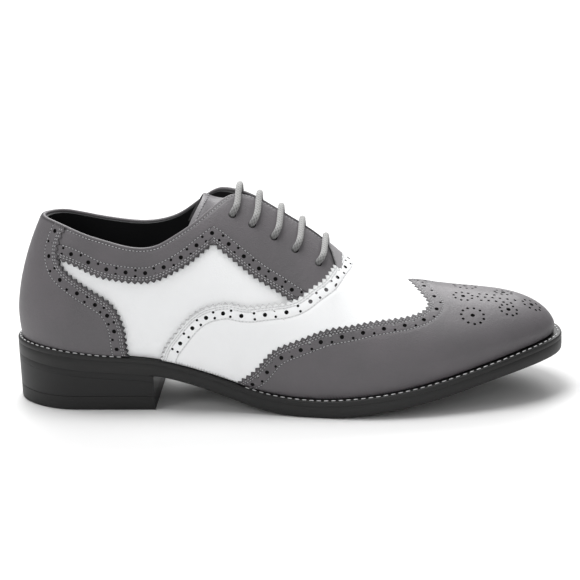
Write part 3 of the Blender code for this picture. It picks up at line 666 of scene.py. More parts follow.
def stitching(name, rows, high, material, show=None):
    """short threads laid in the channels of a panel, where they show"""
    ends = [[], [], []]
    for line in rows:
        s = np.arange(STITCH_PITCH * 0.3, line.length - STITCH_PITCH, STITCH_PITCH)
        if not len(s):
            continue
        q = [line.at(s + part) for part in (0, STITCH_LONG / 2, STITCH_LONG)]
        ok = show(q[0]) & show(q[2]) if show else np.full(len(s), True)
        for k in range(3):
            ends[k].append(spot(line.chart, q[k][ok], high - CHANNEL_DEEP))
    first, middle, last = [np.concatenate(part) for part in ends]
    length = np.linalg.norm(last - first, axis=1)
    good = (length > STITCH_LONG * 0.5) & (length < STITCH_LONG * 1.6)
    capsules(name, middle[good], (last - first)[good], material)


thread_light = plain("light_thread", (0.36, 0.36, 0.37), 0.7, 2400.0, 0.5)
thread_pale = plain("pale_thread", (0.68, 0.68, 0.69), 0.7, 2400.0, 0.5)
raw_edge = plain("raw_grey_edge", (0.035, 0.034, 0.037), 0.75)
raw_white = plain("raw_white_edge", (0.36, 0.36, 0.36), 0.75)
# painted shade: near black on the floor and the walls of every punched hole
hole_shade = plain("painted_hole_shade", (0.006, 0.006, 0.006), 0.9)
GREY_PARTS = [grey_leather, raw_edge, hole_shade]
COUNTER_HIGH = 0.60
back_chart = BackChart()
counter_rows, counter_holes, teeth = [], [], []
for sign in (1, -1):
    line = Line(back_chart, drawn(COUNTER_EDGE, sign))
    counter_rows += [stitch_row(line, sign * d) for d in (ROW_ONE, ROW_TWO, ROW_IN)]
    counter_holes += brogued(line, COLLAR_PITCH, sign * HOLE_ROW)
    teeth.append(pinked(line))
outer, inner = teeth
edge_top = BACK_SCALE[1] * TOP_CUT
top_run = np.stack([np.linspace(outer[-1, 0], inner[-1, 0], 90)[1:-1], np.full(88, edge_top)], -1)
low_run = np.stack([np.linspace(inner[0, 0], outer[0, 0], 160)[1:-1], np.zeros(158)], -1)
counter_outline = np.concatenate([outer, top_run, inner[::-1], low_run])
counter_outline[:, 1] = np.clip(counter_outline[:, 1], 0, edge_top)
panel("counter_panel", back_chart, counter_outline, counter_holes, counter_rows, COUNTER_HIGH, GREY_PARTS,
      ["counter"])
stitching("counter_stitches", counter_rows, COUNTER_HIGH, thread_light,
          lambda q: (q[:, 1] > 0.5) & (q[:, 1] < BACK_SCALE[1] * 0.97))


# FACINGS
# The grey collar and lace panels, one each side, sewn over the quarters and under the counter. The lower edge
# is pinked and brogued up to a peak, the lace edge is folded and stitched, and five eyelets are punched.

FACING_REAR = [
    (0.070, 0.760), (0.133, 0.737), (0.168, 0.700), (0.209, 0.690), (0.243, 0.687), (0.276, 0.692),
    (0.310, 0.707), (0.340, 0.722), (0.360, 0.735), (0.378, 0.742),
]
FACING_FRONT = [
    (0.378, 0.742), (0.400, 0.660), (0.428, 0.597), (0.456, 0.562), (0.485, 0.543), (0.514, 0.521),
    (0.540, 0.510),
]
FACING_END, THROAT_V = 0.601, (0.575, 0.70)
EYELETS = [(0.411, 0.850), (0.446, 0.800), (0.484, 0.778), (0.521, 0.762), (0.562, 0.753)]
EYELET_RADIUS, EYELET_DROP = 2.15, 0.006
FACING_LOW, FACING_HIGH = 0.56, 0.0
EDGE_ROW, EDGE_ROW_START = 2.0, 0.08
PEAK_EXTENSION = 16.0


def past_corner(q):
    """a line that starts at a corner, begun further back along its own direction"""
    return np.concatenate([q[0] + unit(q[0] - q[3]) * np.linspace(PEAK_EXTENSION, 1.0, 10)[:, None], q])


def mitred(first, second, sideways):
    """two rows beside two lines, each cut where they cross"""
    a, b = stitch_row(first, sideways).q, stitch_row(second, sideways).q
    gap = np.linalg.norm(a[:, None] - b[None], axis=-1)
    i, j = np.unravel_index(gap.argmin(), gap.shape)
    return a[:i + 1], b[j:]


def level(first, t, sign, count=150):
    """places of the back map from a share of the length to the throat, all at one rise"""
    return back_chart.flat(station(np.linspace(first, THROAT_V[0], count)) * sign, np.full(count, t))


facing_rows = []
for sign, name in ((1, "outer"), (-1, "inner")):
    rear, front = drawn(FACING_REAR, sign), drawn(FACING_FRONT, sign)
    rear_far = Line(back_chart, past_corner(rear[::-1])[::-1])
    front_far = Line(back_chart, past_corner(front))
    rows = []
    for d in (ROW_ONE, ROW_TWO, ROW_IN, HOLE_ROW):
        rows += [stitch_row(Line(back_chart, q)) for q in mitred(rear_far, front_far, sign * d)]
    hole_front, hole_rear = rows.pop(), rows.pop()
    holes = brogued(Line(back_chart, hole_rear.q[::-1]), COLLAR_PITCH, 0.0, 0.0)
    holes += brogued(hole_front, COLLAR_PITCH, 0.0, 0.0)[1:]
    eyelet_a, eyelet_t = np.array(EYELETS).T
    eyelets = back_chart.flat(station(eyelet_a) * sign, eyelet_t - EYELET_DROP)
    holes += [(q, EYELET_RADIUS) for q in eyelets]
    rows.append(stitch_row(Line(back_chart, level(EDGE_ROW_START, 0.999, sign)), -sign * EDGE_ROW))
    end_a = np.append(np.full(12, FACING_END), np.linspace(FACING_END, THROAT_V[0], 14)[1:-1])
    end_t = np.append(np.linspace(FACING_LOW, THROAT_V[1], 12), np.linspace(THROAT_V[1], TOP_CUT, 14)[1:-1])
    facing_outline = np.concatenate([
        pinked(Line(back_chart, rear)), rear[-1:], pinked(Line(back_chart, front))[1:],
        back_chart.flat(station(end_a) * sign, end_t), level(FACING_REAR[0][0], TOP_CUT, sign)[::-1],
    ])
    panel("facing_panel_" + name, back_chart, facing_outline, holes, rows, FACING_HIGH, GREY_PARTS,
          ["facing_" + name])
    facing_rows += rows

BEAD_WIDE, BEAD_HIGH, BEAD_DEPTH = 1.10, 0.95, -1.15
BEAD_RINGS, BEAD_SIDES = 420, 16
bead_r = np.linspace(-1, 1, BEAD_RINGS) * station(THROAT_V[0])
bead_path = on_form(bead_r, TOP_CUT, BEAD_DEPTH)
bead_n = face_out(bead_r, TOP_CUT)
bead_up = unit(np.cross(bead_n, unit(np.gradient(bead_path, axis=0))))
slim = 1 - 0.45 * np.clip((share(bead_r) - 0.40) / 0.04, 0, 1)[:, None]
bead = around(bead_path, bead_n, bead_up, BEAD_WIDE * slim, BEAD_HIGH * slim, circle(BEAD_SIDES))
k = np.arange(BEAD_SIDES // 2 - 1)
end_face = np.stack([k, k + 1, BEAD_SIDES - 2 - k, BEAD_SIDES - 1 - k], -1)
bead_faces = [grid_faces(BEAD_RINGS, BEAD_SIDES, close=True), end_face[:, ::-1],
              end_face + BEAD_SIDES * (BEAD_RINGS - 1)]
add_piece("folded_top_edge", bead.reshape(-1, 3), np.concatenate(bead_faces), [grey_leather],
          sharp=80.0)


# VAMP
# The white vamp, from its arched rear edge to the wing cap: one piece over the ridge, pinked and brogued
# along the rear edge, sewn over the facings and quarters.

VAMP_EDGE = [
    (0.276, 0.00), (0.284, 0.13), (0.304, 0.275), (0.333, 0.400), (0.357, 0.442), (0.380, 0.452),
    (0.419, 0.449), (0.458, 0.465), (0.496, 0.498), (0.527, 0.539), (0.548, 0.595), (0.569, 0.662),
    (0.589, 0.793), (0.600, 1.00),
]
WING_EDGE = [
    (0.413, 0.00), (0.432, 0.13), (0.453, 0.235), (0.477, 0.304), (0.509, 0.353), (0.552, 0.410),
    (0.605, 0.481), (0.659, 0.546), (0.706, 0.589), (0.734, 0.622), (0.752, 0.660), (0.762, 0.730),
    (0.755, 0.790), (0.740, 0.870), (0.729, 0.940), (0.722, 1.00),
]
VAMP_HIGH, WING_HIGH = 0.40, 0.90
UNDER_WING = 4.0
FOOT_RISES = (0.012, 0.026, 0.044, 0.066, 0.092, 0.125)


class FrontChart:
    """flat map of the front: each wall point moves outwards in plan by its drop from the ridge, so that the
    ridge and the toe stay whole"""
    def __init__(self, first=0.25, columns=440, rows=120):
        r, t = np.meshgrid(np.linspace(first, 2 - first, columns), np.linspace(0, 1, rows), indexing="ij")
        self.rt = np.stack([r.ravel(), t.ravel()], -1)
        self.q = self.flat(r, t).reshape(-1, 2)
        self.tri = halves(grid_faces(columns, rows))
        flat = [(x, y, 0.0) for x, y in self.q.tolist()]
        self.tree = BVHTree.FromPolygons(flat, self.tri.tolist(), all_triangles=True)

    def flat(self, r, t):
        """plan place plus the drop from the ridge along the plan's outward normal"""
        p = form(r, t)
        drop = form(r, np.ones_like(np.asarray(t, float)))[..., 2] - p[..., 2]
        return p[..., :2] + plan_out(r) * drop[..., None]

    def lift(self, q):
        """ring position and rise of places, read between the corners of the map's triangles under them"""
        shape = q.shape[:-1]
        place = np.array(q, float).reshape(-1, 2)
        hits = np.zeros(len(place), int)
        down, ray = Vector((0, 0, -1)), self.tree.ray_cast
        for k, (x, y) in enumerate(place.tolist()):
            where, _, index, _ = ray((x, y, 1.0), down)
            if index is None:
                where, _, index, _ = self.tree.find_nearest((x, y, 0.0))
                place[k] = where[:2]
            hits[k] = index
        a, b, c = [self.q[self.tri[hits, k]] for k in range(3)]
        whole = area(a, b, c)
        whole = np.where(np.abs(whole) < 1e-9, 1e-9, whole)
        v, w = np.clip(area(a, place, c) / whole, 0, 1), np.clip(area(a, b, place) / whole, 0, 1)
        rt = self.rt[self.tri[hits]]
        out = rt[:, 0] + (rt[:, 1] - rt[:, 0]) * v[:, None] + (rt[:, 2] - rt[:, 0]) * w[:, None]
        return out[:, 0].reshape(shape), np.clip(out[:, 1], 0, 1).reshape(shape)

    def keep(self, q):
        """the places moved off the foot, so that slopes can be measured there"""
        r, t = self.lift(q)
        return np.where((t < 0.02)[..., None], self.flat(r, np.maximum(t, 0.02)), q)


front_chart = FrontChart()


def across(table, corner=False):
    """an edge drawn up the outer side, over the ridge and down the inner side, in the front map"""
    a, t = np.array(table).T
    outer = front_chart.flat(station(a), t)
    inner = front_chart.flat(2 - station(a), t)[::-1]
    whole = np.concatenate([outer[:-1], (outer[-1:] + inner[:1]) / 2, inner[1:]])
    return [Line(front_chart, splined(part)) for part in ([outer, inner] if corner else [whole])]


def along_welt(first, last, count):
    """the foot of the wall in the front map"""
    return front_chart.flat(np.linspace(first, last, count), np.zeros(count))


def foot_rows(first, last, count):
    """close rows of points over the foot, where the map squeezes the wall's undercut"""
    r, t = np.meshgrid(np.linspace(first, last, count), FOOT_RISES, indexing="ij")
    return front_chart.flat(r, t).reshape(-1, 2)


vamp_line, = across(VAMP_EDGE)
wing_lines = across(WING_EDGE, corner=True)
vamp_rows = [stitch_row(vamp_line, -d) for d in (ROW_ONE, ROW_TWO, ROW_IN)]
vamp_holes = brogued(vamp_line, WING_PITCH, -HOLE_ROW)
vamp_r, wing_r = station(VAMP_EDGE[0][0]), station(WING_EDGE[0][0])
tucked = np.concatenate([line.beside(np.linspace(0, line.length, 90), -UNDER_WING) for line in wing_lines])
tucked = tucked[(tucked[:, 1] < ridge_line(tucked[:, 0] / SOLE_LENGTH)) == (np.arange(len(tucked)) < 90)]
vamp_outline = np.concatenate([
    pinked(vamp_line), along_welt(2 - vamp_r, 2 - wing_r - 0.015, 40)[1:], tucked[::-1][2:-2],
    along_welt(wing_r + 0.015, vamp_r, 40)[:-1],
])
panel("vamp_panel", front_chart, vamp_outline, vamp_holes, vamp_rows, VAMP_HIGH,
      [white_leather, raw_white, hole_shade], ["vamp"], extra=foot_rows(0.30, 1.70, 420))


# WING CAP
# The grey toe cap with its two wings, one piece over the toe, its pinked edge rising to a peak on the ridge.
# It is sewn over the vamp and punched with a medallion on the toe.

ROSETTES = [
    # along from the heel, across from the axis, ring radius, holes in the ring
    (253.5, -16.4, 6.2, 11), (253.5, 16.4, 6.2, 11), (250.5, 0.0, 5.2, 9), (274.0, -9.6, 4.7, 9),
    (274.0, 9.6, 4.7, 9), (288.0, 0.0, 4.7, 9),
]
LATTICE_ROWS, LATTICE_ENDS, LATTICE_STEP = (-3.6, 0.0, 3.6), (258.5, 281.5), 4.1
MEDALLION_AXIS = (251.0, -7.4, 0.12)
MEDALLION_BIG, MEDALLION_SMALL = 1.25, 0.80
RING_SQUASH, SMALL_GAP, BIG_GAP = 0.85, 2.4, 3.0


def half_of(sign):
    """keeps a row to its own side of the ridge"""
    return lambda q: (q[:, 1] > ridge_line(q[:, 0] / SOLE_LENGTH)) == (sign < 0)


def from_above(places):
    """map places under points seen from above, by Newton steps on the plan"""
    q = np.array(places, float)
    for _ in range(9):
        miss = places - spot(front_chart, q)[:, :2]
        q = q + np.einsum("nij,nj->ni", np.linalg.pinv(slopes(front_chart, q)[:, :2]), miss)
    return q


def on_axis(along, across_axis):
    """plan point of the medallion from its own axis"""
    x0, y0, lean = MEDALLION_AXIS
    return np.stack([along - lean * across_axis, y0 + (along - x0) * lean + across_axis], -1)


wing_rows, wing_holes = [], []
for line, sign in zip(wing_lines, (1, -1)):
    wing_rows += [stitch_row(line, -d, half_of(sign)) for d in (ROW_ONE, ROW_TWO, ROW_IN)]
    wing_holes += brogued(stitch_row(line, -HOLE_ROW, half_of(sign)), WING_PITCH, 0.0)
big_spots = np.array([on_axis(a, b) for a, b, _, _ in ROSETTES])
small_spots = []
for a, b, radius, number in ROSETTES:
    turn = circle(number) + 0.2
    small_spots += [on_axis(a + radius * np.cos(w), b + RING_SQUASH * radius * np.sin(w)) for w in turn]
for b in LATTICE_ROWS:
    start, stop = LATTICE_ENDS[0] + abs(b) * 0.4, LATTICE_ENDS[1] - abs(b) * 0.9
    small_spots += [on_axis(a, b) for a in np.arange(start, stop, LATTICE_STEP)]
small_spots = np.array(small_spots)
apart = np.linalg.norm(small_spots[:, None] - small_spots[None], axis=-1) + np.tri(len(small_spots)) * 99
small_spots = small_spots[apart.min(axis=0) > SMALL_GAP]
small_spots = small_spots[nearest(small_spots, big_spots) > BIG_GAP]
for spots, size in ((big_spots, MEDALLION_BIG), (small_spots, MEDALLION_SMALL)):
    wing_holes += [(q, size) for q in from_above(spots)]
wing_outline = np.concatenate([
    pinked(wing_lines[0]), wing_lines[0].q[-1:], pinked(wing_lines[1])[1:],
    along_welt(2 - wing_r, wing_r, 300)[1:-1],
])
panel("wing_cap_panel", front_chart, wing_outline, wing_holes, wing_rows, WING_HIGH, GREY_PARTS,
      ["wing_cap"], extra=foot_rows(0.40, 1.60, 360))


def outside_of(outline, clear=0.6):
    """places that a later panel doesn't cover"""
    return lambda q: ~inside(q, outline) & (nearest(q, outline) > clear)


counter_cover = outside_of(counter_outline)
vamp_back_r, vamp_back_t = front_chart.lift(vamp_line.q[:len(vamp_line.q) // 2])


def free_facing(q):
    """stitches that neither the counter nor the vamp hides"""
    r, t = back_chart.lift(q)
    return counter_cover(q) & (np.abs(r) < np.interp(t, vamp_back_t, vamp_back_r) - 0.004)


stitching("facing_stitches", facing_rows, FACING_HIGH, thread_light, free_facing)
stitching("vamp_stitches", vamp_rows, VAMP_HIGH, thread_pale, outside_of(wing_outline))
stitching("wing_stitches", wing_rows, WING_HIGH, thread_light)


# TONGUE
# A soft grey leather tongue under the facings. Its foot is caught under the vamp, where a lighter piece shows
# in the throat, and its free end is stitched round and lifts above the collar.

TONGUE_SHARES, TONGUE_FREE, TONGUE_SIDE = (0.361, 0.640), 0.418, 0.74
TONGUE_RISE = (-5.1, 7.9)
TONGUE_OUT, TONGUE_THICK = WALL_IN - 1.0, 1.6
TONGUE_SLANT = (0.036, 1.3)
TONGUE_CELLS = (70, 41)
STITCH_WALK = np.array([(0.45, -0.88), (0.03, -0.88), (0.03, 0.88), (0.45, 0.88)])


def tongue_skin(part, u, depth):
    """a part of the way from the tip to the foot, u from -1 to 1 across. Under the facings it follows the
    form at one depth; its free end runs on above the collar and lifts"""
    tip = TONGUE_SHARES[0] - TONGUE_SLANT[0] * np.abs(u) ** TONGUE_SLANT[1]
    a = tip + (TONGUE_SHARES[1] - tip) * part
    held = np.maximum(a, TONGUE_FREE)
    r = station(held)
    t = 1 - (1 - TONGUE_SIDE) * np.abs(u)
    near, far = on_form(r, t, depth), on_form(-r, t, depth)
    blend = np.clip(u / 0.16 * 0.5 + 0.5, 0, 1)[..., None]
    point = near * (1 - blend) + far * blend
    free = np.minimum((held - a) / (TONGUE_FREE - TONGUE_SHARES[0]), 1)
    lift = (TONGUE_RISE[0] * free + TONGUE_RISE[1] * free ** 2) * (1 - 0.8 * np.abs(u))
    return point + np.stack([(a - held) * SOLE_LENGTH, 0 * a, lift], -1)


tongue_grey = leather("tongue_grey", (0.145, 0.141, 0.147), (0.180, 0.170, 0.181), 0.5, grain=0.3)
# painted shade: the foot's darkening tone is near black, so its outline carries a painted contact shadow
# where it meets the facing's edge
foot_grey = leather("tongue_foot_grey", (0.23, 0.225, 0.232), (0.27, 0.26, 0.27), 0.5, 0.3, painted_shade_dark=0.03)
ta, tu = np.meshgrid(np.linspace(0, 1, TONGUE_CELLS[0]), np.linspace(-1, 1, TONGUE_CELLS[1]), indexing="ij")
edge_drop = np.maximum(np.clip(1 - ta * 40, 0, 1), np.clip((np.abs(tu) - 0.96) / 0.04, 0, 1)) ** 2 * 0.5
skins = [tongue_skin(ta, tu, depth).reshape(-1, 3)
         for depth in (TONGUE_OUT - edge_drop, TONGUE_OUT - TONGUE_THICK + edge_drop)]
grid = np.arange(ta.size).reshape(TONGUE_CELLS)
border = np.concatenate([grid[0], grid[1:, -1], grid[-1, -2::-1], grid[-2:0:-1, 0]])
shell = [grid_faces(*TONGUE_CELLS), grid_faces(*TONGUE_CELLS, ta.size, flip=True),
         ribbon(np.roll(border, -1), border, ta.size)]
add_piece("tongue_leather", np.concatenate(skins), np.concatenate(shell), [tongue_grey],
          ["tongue"])
walk = np.concatenate([np.linspace(a, b, 60) for a, b in zip(STITCH_WALK, STITCH_WALK[1:])])
walk = tongue_skin(walk[:, 0], walk[:, 1], TONGUE_OUT + 0.20)
run = lengths(walk)
s = np.arange(0.5, run[-1] - 2, STITCH_PITCH)
first, middle, last = [read_at(walk, run, s + part) for part in (0, 0.65, 1.3)]
capsules("tongue_stitches", middle, last - first, thread_light)
foot_a, foot_t = np.array((0.5765, 0.5843, 0.5929, 0.6060)), np.array((0.985, 0.90, 0.80, 0.80))
foot_r = np.append(station(foot_a), 2 - station(foot_a)[::-1])
foot = front_chart.flat(foot_r, np.append(foot_t, foot_t[::-1]))
foot_line = Line(front_chart, np.concatenate([foot, foot[:1]]))
foot = foot_line.at(np.arange(0, foot_line.length - 0.5, 0.8))
panel("tongue_foot", front_chart, foot, [], [], 0.45, [foot_grey, raw_edge, hole_shade], cell=1.1)


# LACES
# One round braided cord of light grey cotton, in straight bars. Each bar comes out of its outer eyelet,
# crosses the facings and goes down its inner one; the ends are hidden and stop at the top pair.

LACE_RADIUS = 1.75
BRAID_PITCH, BRAID_STRANDS = 4.6, 10
FLAT_DEPTH, FLAT_RADIUS, FLAT_SQUASH = -3.92, 1.9, 0.22


def braided(name):
    """round cotton braid, paler on its strands, with painted shade from the piece's attribute in the hollows
    between strands and on the ends
    """
    material, tree, place = blank(name)
    # the strands' colour, then the dark tone of the painted shade
    tint = mixed(tree, painted_shade_part(tree), ((0.36, 0.36, 0.355), (0.12, 0.12, 0.12)))
    surface(tree, tint, noise(tree, place, 2600.0, 4.0), (0.5, 0.0003), Roughness=0.85, Sheen_Weight=0.3)
    return material


def rope(name, knots, nodes=(), reference=None, radius=LACE_RADIUS, sides=24, step=0.3, squash=1.0):
    """round cord along a path, its radius raised where a strand lies on top of the two windings; a reference
    direction beside each knot turns a flattened cord"""
    path = splined(knots if reference is None else np.concatenate([knots, reference], 1), step)
    path, hint = path[:, :3], path[:, 3:] if reference is not None else np.array((1.0, 0.0, 0.0))
    way = unit(np.gradient(path, axis=0))
    side = unit(np.cross(way, hint))
    turn = circle(sides)
    s = np.arange(len(path))[:, None] * step
    one, two = [np.cos(BRAID_STRANDS / 2 * (turn + sign * np.pi * s / BRAID_PITCH)) for sign in (1, -1)]
    high = np.maximum(one, two)
    size = radius * (0.93 + 0.08 * high)
    points = around(path, side, np.cross(side, way), size, size * squash, turn)
    points = np.concatenate([points.reshape(-1, 3), path[:1], path[-1:]])
    n = len(path) * sides
    k = np.arange(sides)
    after = (k + 1) % sides
    caps = [np.stack([0 * k + n, after, k], -1),
            np.stack([0 * k + n + 1, n - sides + k, n - sides + after], -1)]
    faces = np.concatenate([halves(grid_faces(len(path), sides, close=True))] + caps)
    # painted shade: darker in the hollows between strands and near each end, where the cord dives into its
    # eyelet; full within about 4 mm of the end, gone by about 9 mm
    ends = np.clip(1.25 - np.minimum(s, s[-1] - s) / 7.5, 0, 0.75)
    shade = np.append(np.clip(0.40 - high * 0.5 + ends, 0, 1).ravel(), (1, 1))
    add_piece(name, points, faces, [lace_cotton], nodes, painted_shade=shade, sharp=80.0)


lace_cotton = braided("lace_cotton")
BAR_KNOTS = [
    # part of the way up to the crest, depth
    (0.00, -3.70), (0.00, -1.00), (0.05, 0.70), (0.14, 1.65),
    (0.30, 1.85), (0.50, 1.90), (0.75, 1.95), (0.97, 2.15),
]
BAR_SLANT = 0.0075
part, depths = np.array(BAR_KNOTS).T
for number, (along, rise_up) in enumerate(EYELETS, 1):
    ups = rise_up + (1 - rise_up) * part
    near = on_form(station(along + BAR_SLANT * (1 - (1 - part) ** 6)), ups, depths)
    far = on_form(-station(np.full(len(part), along + BAR_SLANT)), ups, depths)
    rope("lace_cord_%d" % number, np.concatenate([near, far[::-1]]), ["lace_bar_%d" % number])
HIDDEN_RUNS = [
    # side, then the two eyelets that the run joins, counted from the top; equal ones are a hidden end
    (1, 5, 4), (1, 3, 1), (1, 2, 2), (-1, 5, 3), (-1, 4, 2), (-1, 1, 1),
]
LAST_RUN, RUN_SAG = 0.022, 0.035
k = np.linspace(0, 1, 9)
for number, (sign, first, last) in enumerate(HIDDEN_RUNS, 1):
    (first_a, first_t), (last_a, last_t) = EYELETS[first - 1], EYELETS[last - 1]
    along = (1 - k) * first_a + k * last_a + (0.0 if sign > 0 else BAR_SLANT)
    along = along - (LAST_RUN * k if first == last else 0)
    ups = (1 - k) * first_t + k * last_t - np.sin(np.pi * k) * (RUN_SAG if first - last == 2 else 0.0)
    r = station(along) * sign
    rope("lace_run_%d" % number, on_form(r, ups, FLAT_DEPTH), (), face_out(r, ups), FLAT_RADIUS, 20, 0.5,
         FLAT_SQUASH)


# INSOLE
# A stiff board covered by a thin black leather sock. It lies on the outsole inside the wall, whose feather is
# lasted round it.

WELT_THICK, INSOLE_RISE = 2.6, 2.5
FLAT_STATIONS = 181
sock = plain("black_sock", (0.012, 0.012, 0.013), 0.55, 1200.0, 0.2)


def sole_ring(r, inset, height):
    """one ring of a layer: the sole's edge moved in by an inset, at a height given by the place along"""
    a = share(r)
    plan = sole_edge(r) - plan_out(r) * (inset(a) if callable(inset) else np.full(len(r), inset))[:, None]
    z = height(np.clip(plan[:, 0] / SOLE_LENGTH, 0, 1)) if callable(height) else np.full(len(r), height)
    return np.concatenate([plan, z[:, None]], -1)


def layered(name, reach, rings, materials, nodes, count=FLAT_STATIONS):
    """a plate or block: rings from the underside to the top, joined by walls, with a face across each end"""
    r = np.linspace(-reach, reach, count)
    r[count // 2] = 1e-7
    points = np.concatenate([sole_ring(r, inset, height) for inset, height in rings])
    k = np.arange(count // 2)
    low = np.stack([k, k + 1, count - 2 - k, count - 1 - k], -1)
    walls = grid_faces(len(rings), count, close=True, flip=True)
    points, faces = weld(points, np.concatenate([walls, low, low[:, ::-1] + (len(rings) - 1) * count]))
    add_piece(name, points, faces, materials, nodes, sharp=35.0)


def plus(line, more, part=1.0):
    """a line along the sole, times a part and moved by a distance"""
    return lambda a: line(a) * part + more


def tread(a):
    """the underside ahead of the heel, never under the floor"""
    return np.maximum(sole_low(a), 0.0)


welt_low, feather = plus(sole_top, -WELT_THICK), body[0]
sock_edge = plus(feather, 0.15 - WALL_IN)
layered("insole_sock", 1.0, [
    (sock_edge, welt_low), (sock_edge, plus(sole_top, INSOLE_RISE - 0.5)),
    (plus(sock_edge, 0.5), plus(sole_top, INSOLE_RISE)),
], [sock], ["insole"])


# WELT
# A flat black leather strip round the sole's upper edge. The wall stands on it, and one row of pale thread
# sews it to the outsole, except along the waist.

WELT_RINGS = 360
WELT_PITCH, WELT_LONG, WELT_THREAD = 4.1, 2.5, (0.30, 0.34)
WAIST = (0.20, 0.425)
sole_black = plain("sole_edge_black", (0.0125, 0.0125, 0.0125), 0.46, 500.0, 0.12, 0.9)
ring_r = np.linspace(-1, 1, WELT_RINGS + 1)[:-1]
ring_r[WELT_RINGS // 2] = 1e-7
profile = [
    (0.04, plus(welt_low, -0.14)), (0.0, plus(welt_low, -0.04)), (0.0, plus(sole_top, -0.7)),
    (0.25, plus(sole_top, -0.2)), (0.7, sole_top), (plus(feather, 4.0), sole_top),
    (plus(feather, 4.0), plus(welt_low, -0.14)),
]
k = np.arange(WELT_RINGS)
last_row, after = (len(profile) - 1) * WELT_RINGS, (k + 1) % WELT_RINGS
welt_faces = [grid_faces(len(profile), WELT_RINGS, close=True, flip=True),
              np.stack([last_row + k, k, after, last_row + after], -1)]
add_piece("welt_strip", np.concatenate([sole_ring(ring_r, inset, height) for inset, height in profile]),
          np.concatenate(welt_faces), [sole_black], ["welt"], sharp=50.0)
seam_line = sole_ring(np.linspace(-1, 1, 4001), plus(feather, 0.40, 0.30), plus(sole_top, 0.12))
run = lengths(seam_line)
s = np.arange(0, run[-1] - WELT_PITCH, WELT_PITCH)
first, last = [read_at(seam_line, run, s + d) for d in (0, WELT_LONG)]
middle = (first + last) / 2
shown = (middle[:, 0] <= WAIST[0] * SOLE_LENGTH) | (middle[:, 0] >= WAIST[1] * SOLE_LENGTH)
capsules("welt_stitches", middle[shown], (last - first)[shown], thread_pale, *WELT_THREAD,
         up=np.array((0.0, 0.0, 1.0)))


# OUTSOLE
# The black leather sole, sewn under the welt: its edge is trimmed square and eased at the tread, and it is
# arched at the waist.

HEEL_LENGTH = 79.5


def eased(inset):
    """an edge eased only ahead of the heel"""
    return lambda a: inset * np.clip((a - HEEL_LENGTH / SOLE_LENGTH) / 0.008, 0.04, 1)


layered("outsole_plate", 1.0, [
    (eased(1.5), tread), (eased(0.6), plus(tread, 0.35)), (eased(0.15), plus(tread, 1.2)),
    (0.0, lambda a: tread(a) * 0.5 + (welt_low(a) - SEAT) * 0.5), (0.0, plus(welt_low, -SEAT)),
    (0.05, plus(welt_low, 0.08 - SEAT)),
], [sole_black], ["outsole"])


# HEEL AND TOP LIFT
# A stacked black leather heel nailed under the seat, slightly tapered, with one groove near its top. A rubber
# top lift is its tread.

LIFT_THICK = 8.0
heel_black = plain("heel_black", (0.0085, 0.0085, 0.0088), 0.48, 420.0, 0.15, 0.9)
lift_rubber = plain("lift_rubber", (0.010, 0.010, 0.010), 0.55, 700.0, 0.3)
heel_reach = float(station(HEEL_LENGTH / SOLE_LENGTH))
layered("heel_stack", heel_reach, [
    (0.40, LIFT_THICK + 0.03), (0.24, LIFT_THICK + 0.2), (0.12, plus(sole_low, LIFT_THICK * 0.5, 0.5)),
    (0.06, plus(sole_low, -3.6)), (0.14, plus(sole_low, -3.5)), (0.04, plus(sole_low, -3.4)),
    (0.0, plus(sole_low, -0.3)), (0.10, plus(sole_low, -0.05)),
], [heel_black], ["heel"])
layered("heel_lift", heel_reach, [
    (0.9, 0.0), (0.45, 0.3), (0.34, 1.0), (0.25, LIFT_THICK - 0.2), (0.40, LIFT_THICK - 0.03),
], [lift_rubber], ["heel_top_lift"])


# FLOOR, LIGHT AND VIEW
# A pale sweep under the shoe, a soft key lamp above and behind, low fills at the left and in front, a lamp
# far behind, and the photograph's own view.

floor_mesh = bpy.data.meshes.new("floor")
floor_mesh.from_pydata([(-30, -30, 0), (30, -30, 0), (30, 30, 0), (-30, 30, 0)], [], [(0, 1, 2, 3)])
floor = bpy.data.objects.new("floor", floor_mesh)
bpy.context.scene.collection.objects.link(floor)
floor_mesh.materials.append(plain("pale_floor", (0.72, 0.72, 0.72), 0.9, 3.0, 0.0, 1.0))

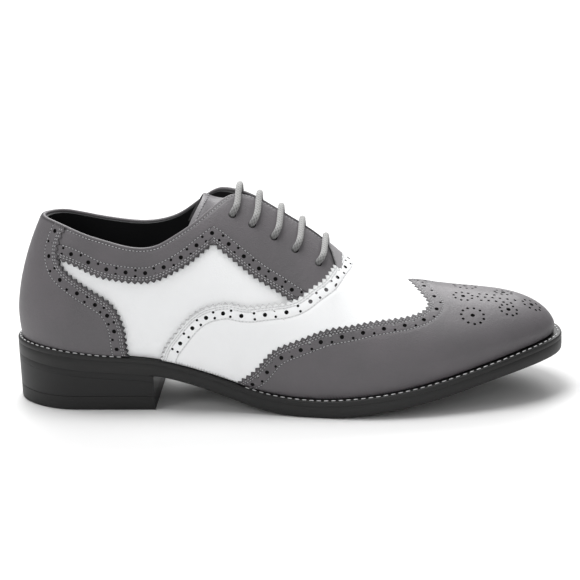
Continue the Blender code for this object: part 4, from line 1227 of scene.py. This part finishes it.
LAMPS = [
    # name, place, aim, size in metres, power in watts
    ("key", (-0.22, 0.20, 1.35), (0, 0, 0.05), 0.75, 19.0),
    ("left_fill", (-1.30, -0.95, 0.95), (0, 0, 0.05), 0.8, 4.5),
    ("front_fill", (0.30, -1.70, 0.60), (0, 0, 0.05), 1.4, 5.5),
    ("backdrop", (0, 3.6, 2.6), (0, 2.6, 0), 3.0, 190.0),
]
for name, place, aim, size, power in LAMPS:
    lamp = bpy.data.lights.new(name, "AREA")
    lamp.shape, lamp.size, lamp.energy = "SQUARE", size, power
    made = bpy.data.objects.new(name, lamp)
    made.location = place
    made.rotation_euler = (Vector(aim) - Vector(place)).to_track_quat("-Z", "Y").to_euler()
    bpy.context.scene.collection.objects.link(made)
world = bpy.data.worlds.new("studio")
world.use_nodes = True
fill(world.node_tree, world.node_tree.nodes["Background"], Color=(1, 1, 1, 1), Strength=0.36)
bpy.context.scene.world = world

AZIMUTH, ELEVATION, ROLL = np.radians((4.0, 17.0, 2.15))
DISTANCE, TARGET = 1400.0, np.array((152.5, 0.0, 45.0))
SENSOR, FOCAL = 36.0, 1.787 * DISTANCE
CENTRE, SIDE = (287.6, 311.8), 580.0
right = np.array((np.cos(AZIMUTH), np.sin(AZIMUTH), 0.0))
level_back = np.array((np.sin(AZIMUTH), -np.cos(AZIMUTH), 0.0))
back = level_back * np.cos(ELEVATION) + np.array((0.0, 0.0, np.sin(ELEVATION)))
up = np.cross(back, right)
turned = np.cos(ROLL) * right - np.sin(ROLL) * up
lens = bpy.data.cameras.new("photograph")
lens.sensor_width = SENSOR
lens.lens = SENSOR * FOCAL / SIDE
lens.shift_x = (SIDE / 2 - CENTRE[0]) / SIDE
lens.shift_y = (CENTRE[1] - SIDE / 2) / SIDE
lens.clip_start, lens.clip_end = 0.05, 100.0
camera = bpy.data.objects.new("photograph", lens)
bpy.context.scene.collection.objects.link(camera)
axes = Matrix([[turned[i], np.cross(back, turned)[i], back[i]] for i in range(3)]).to_4x4()
camera.matrix_world = Matrix.Translation((TARGET + back * DISTANCE + SHIFT) * 0.001) @ axes
bpy.context.scene.camera = camera
bpy.context.scene.view_settings.view_transform = "Standard"
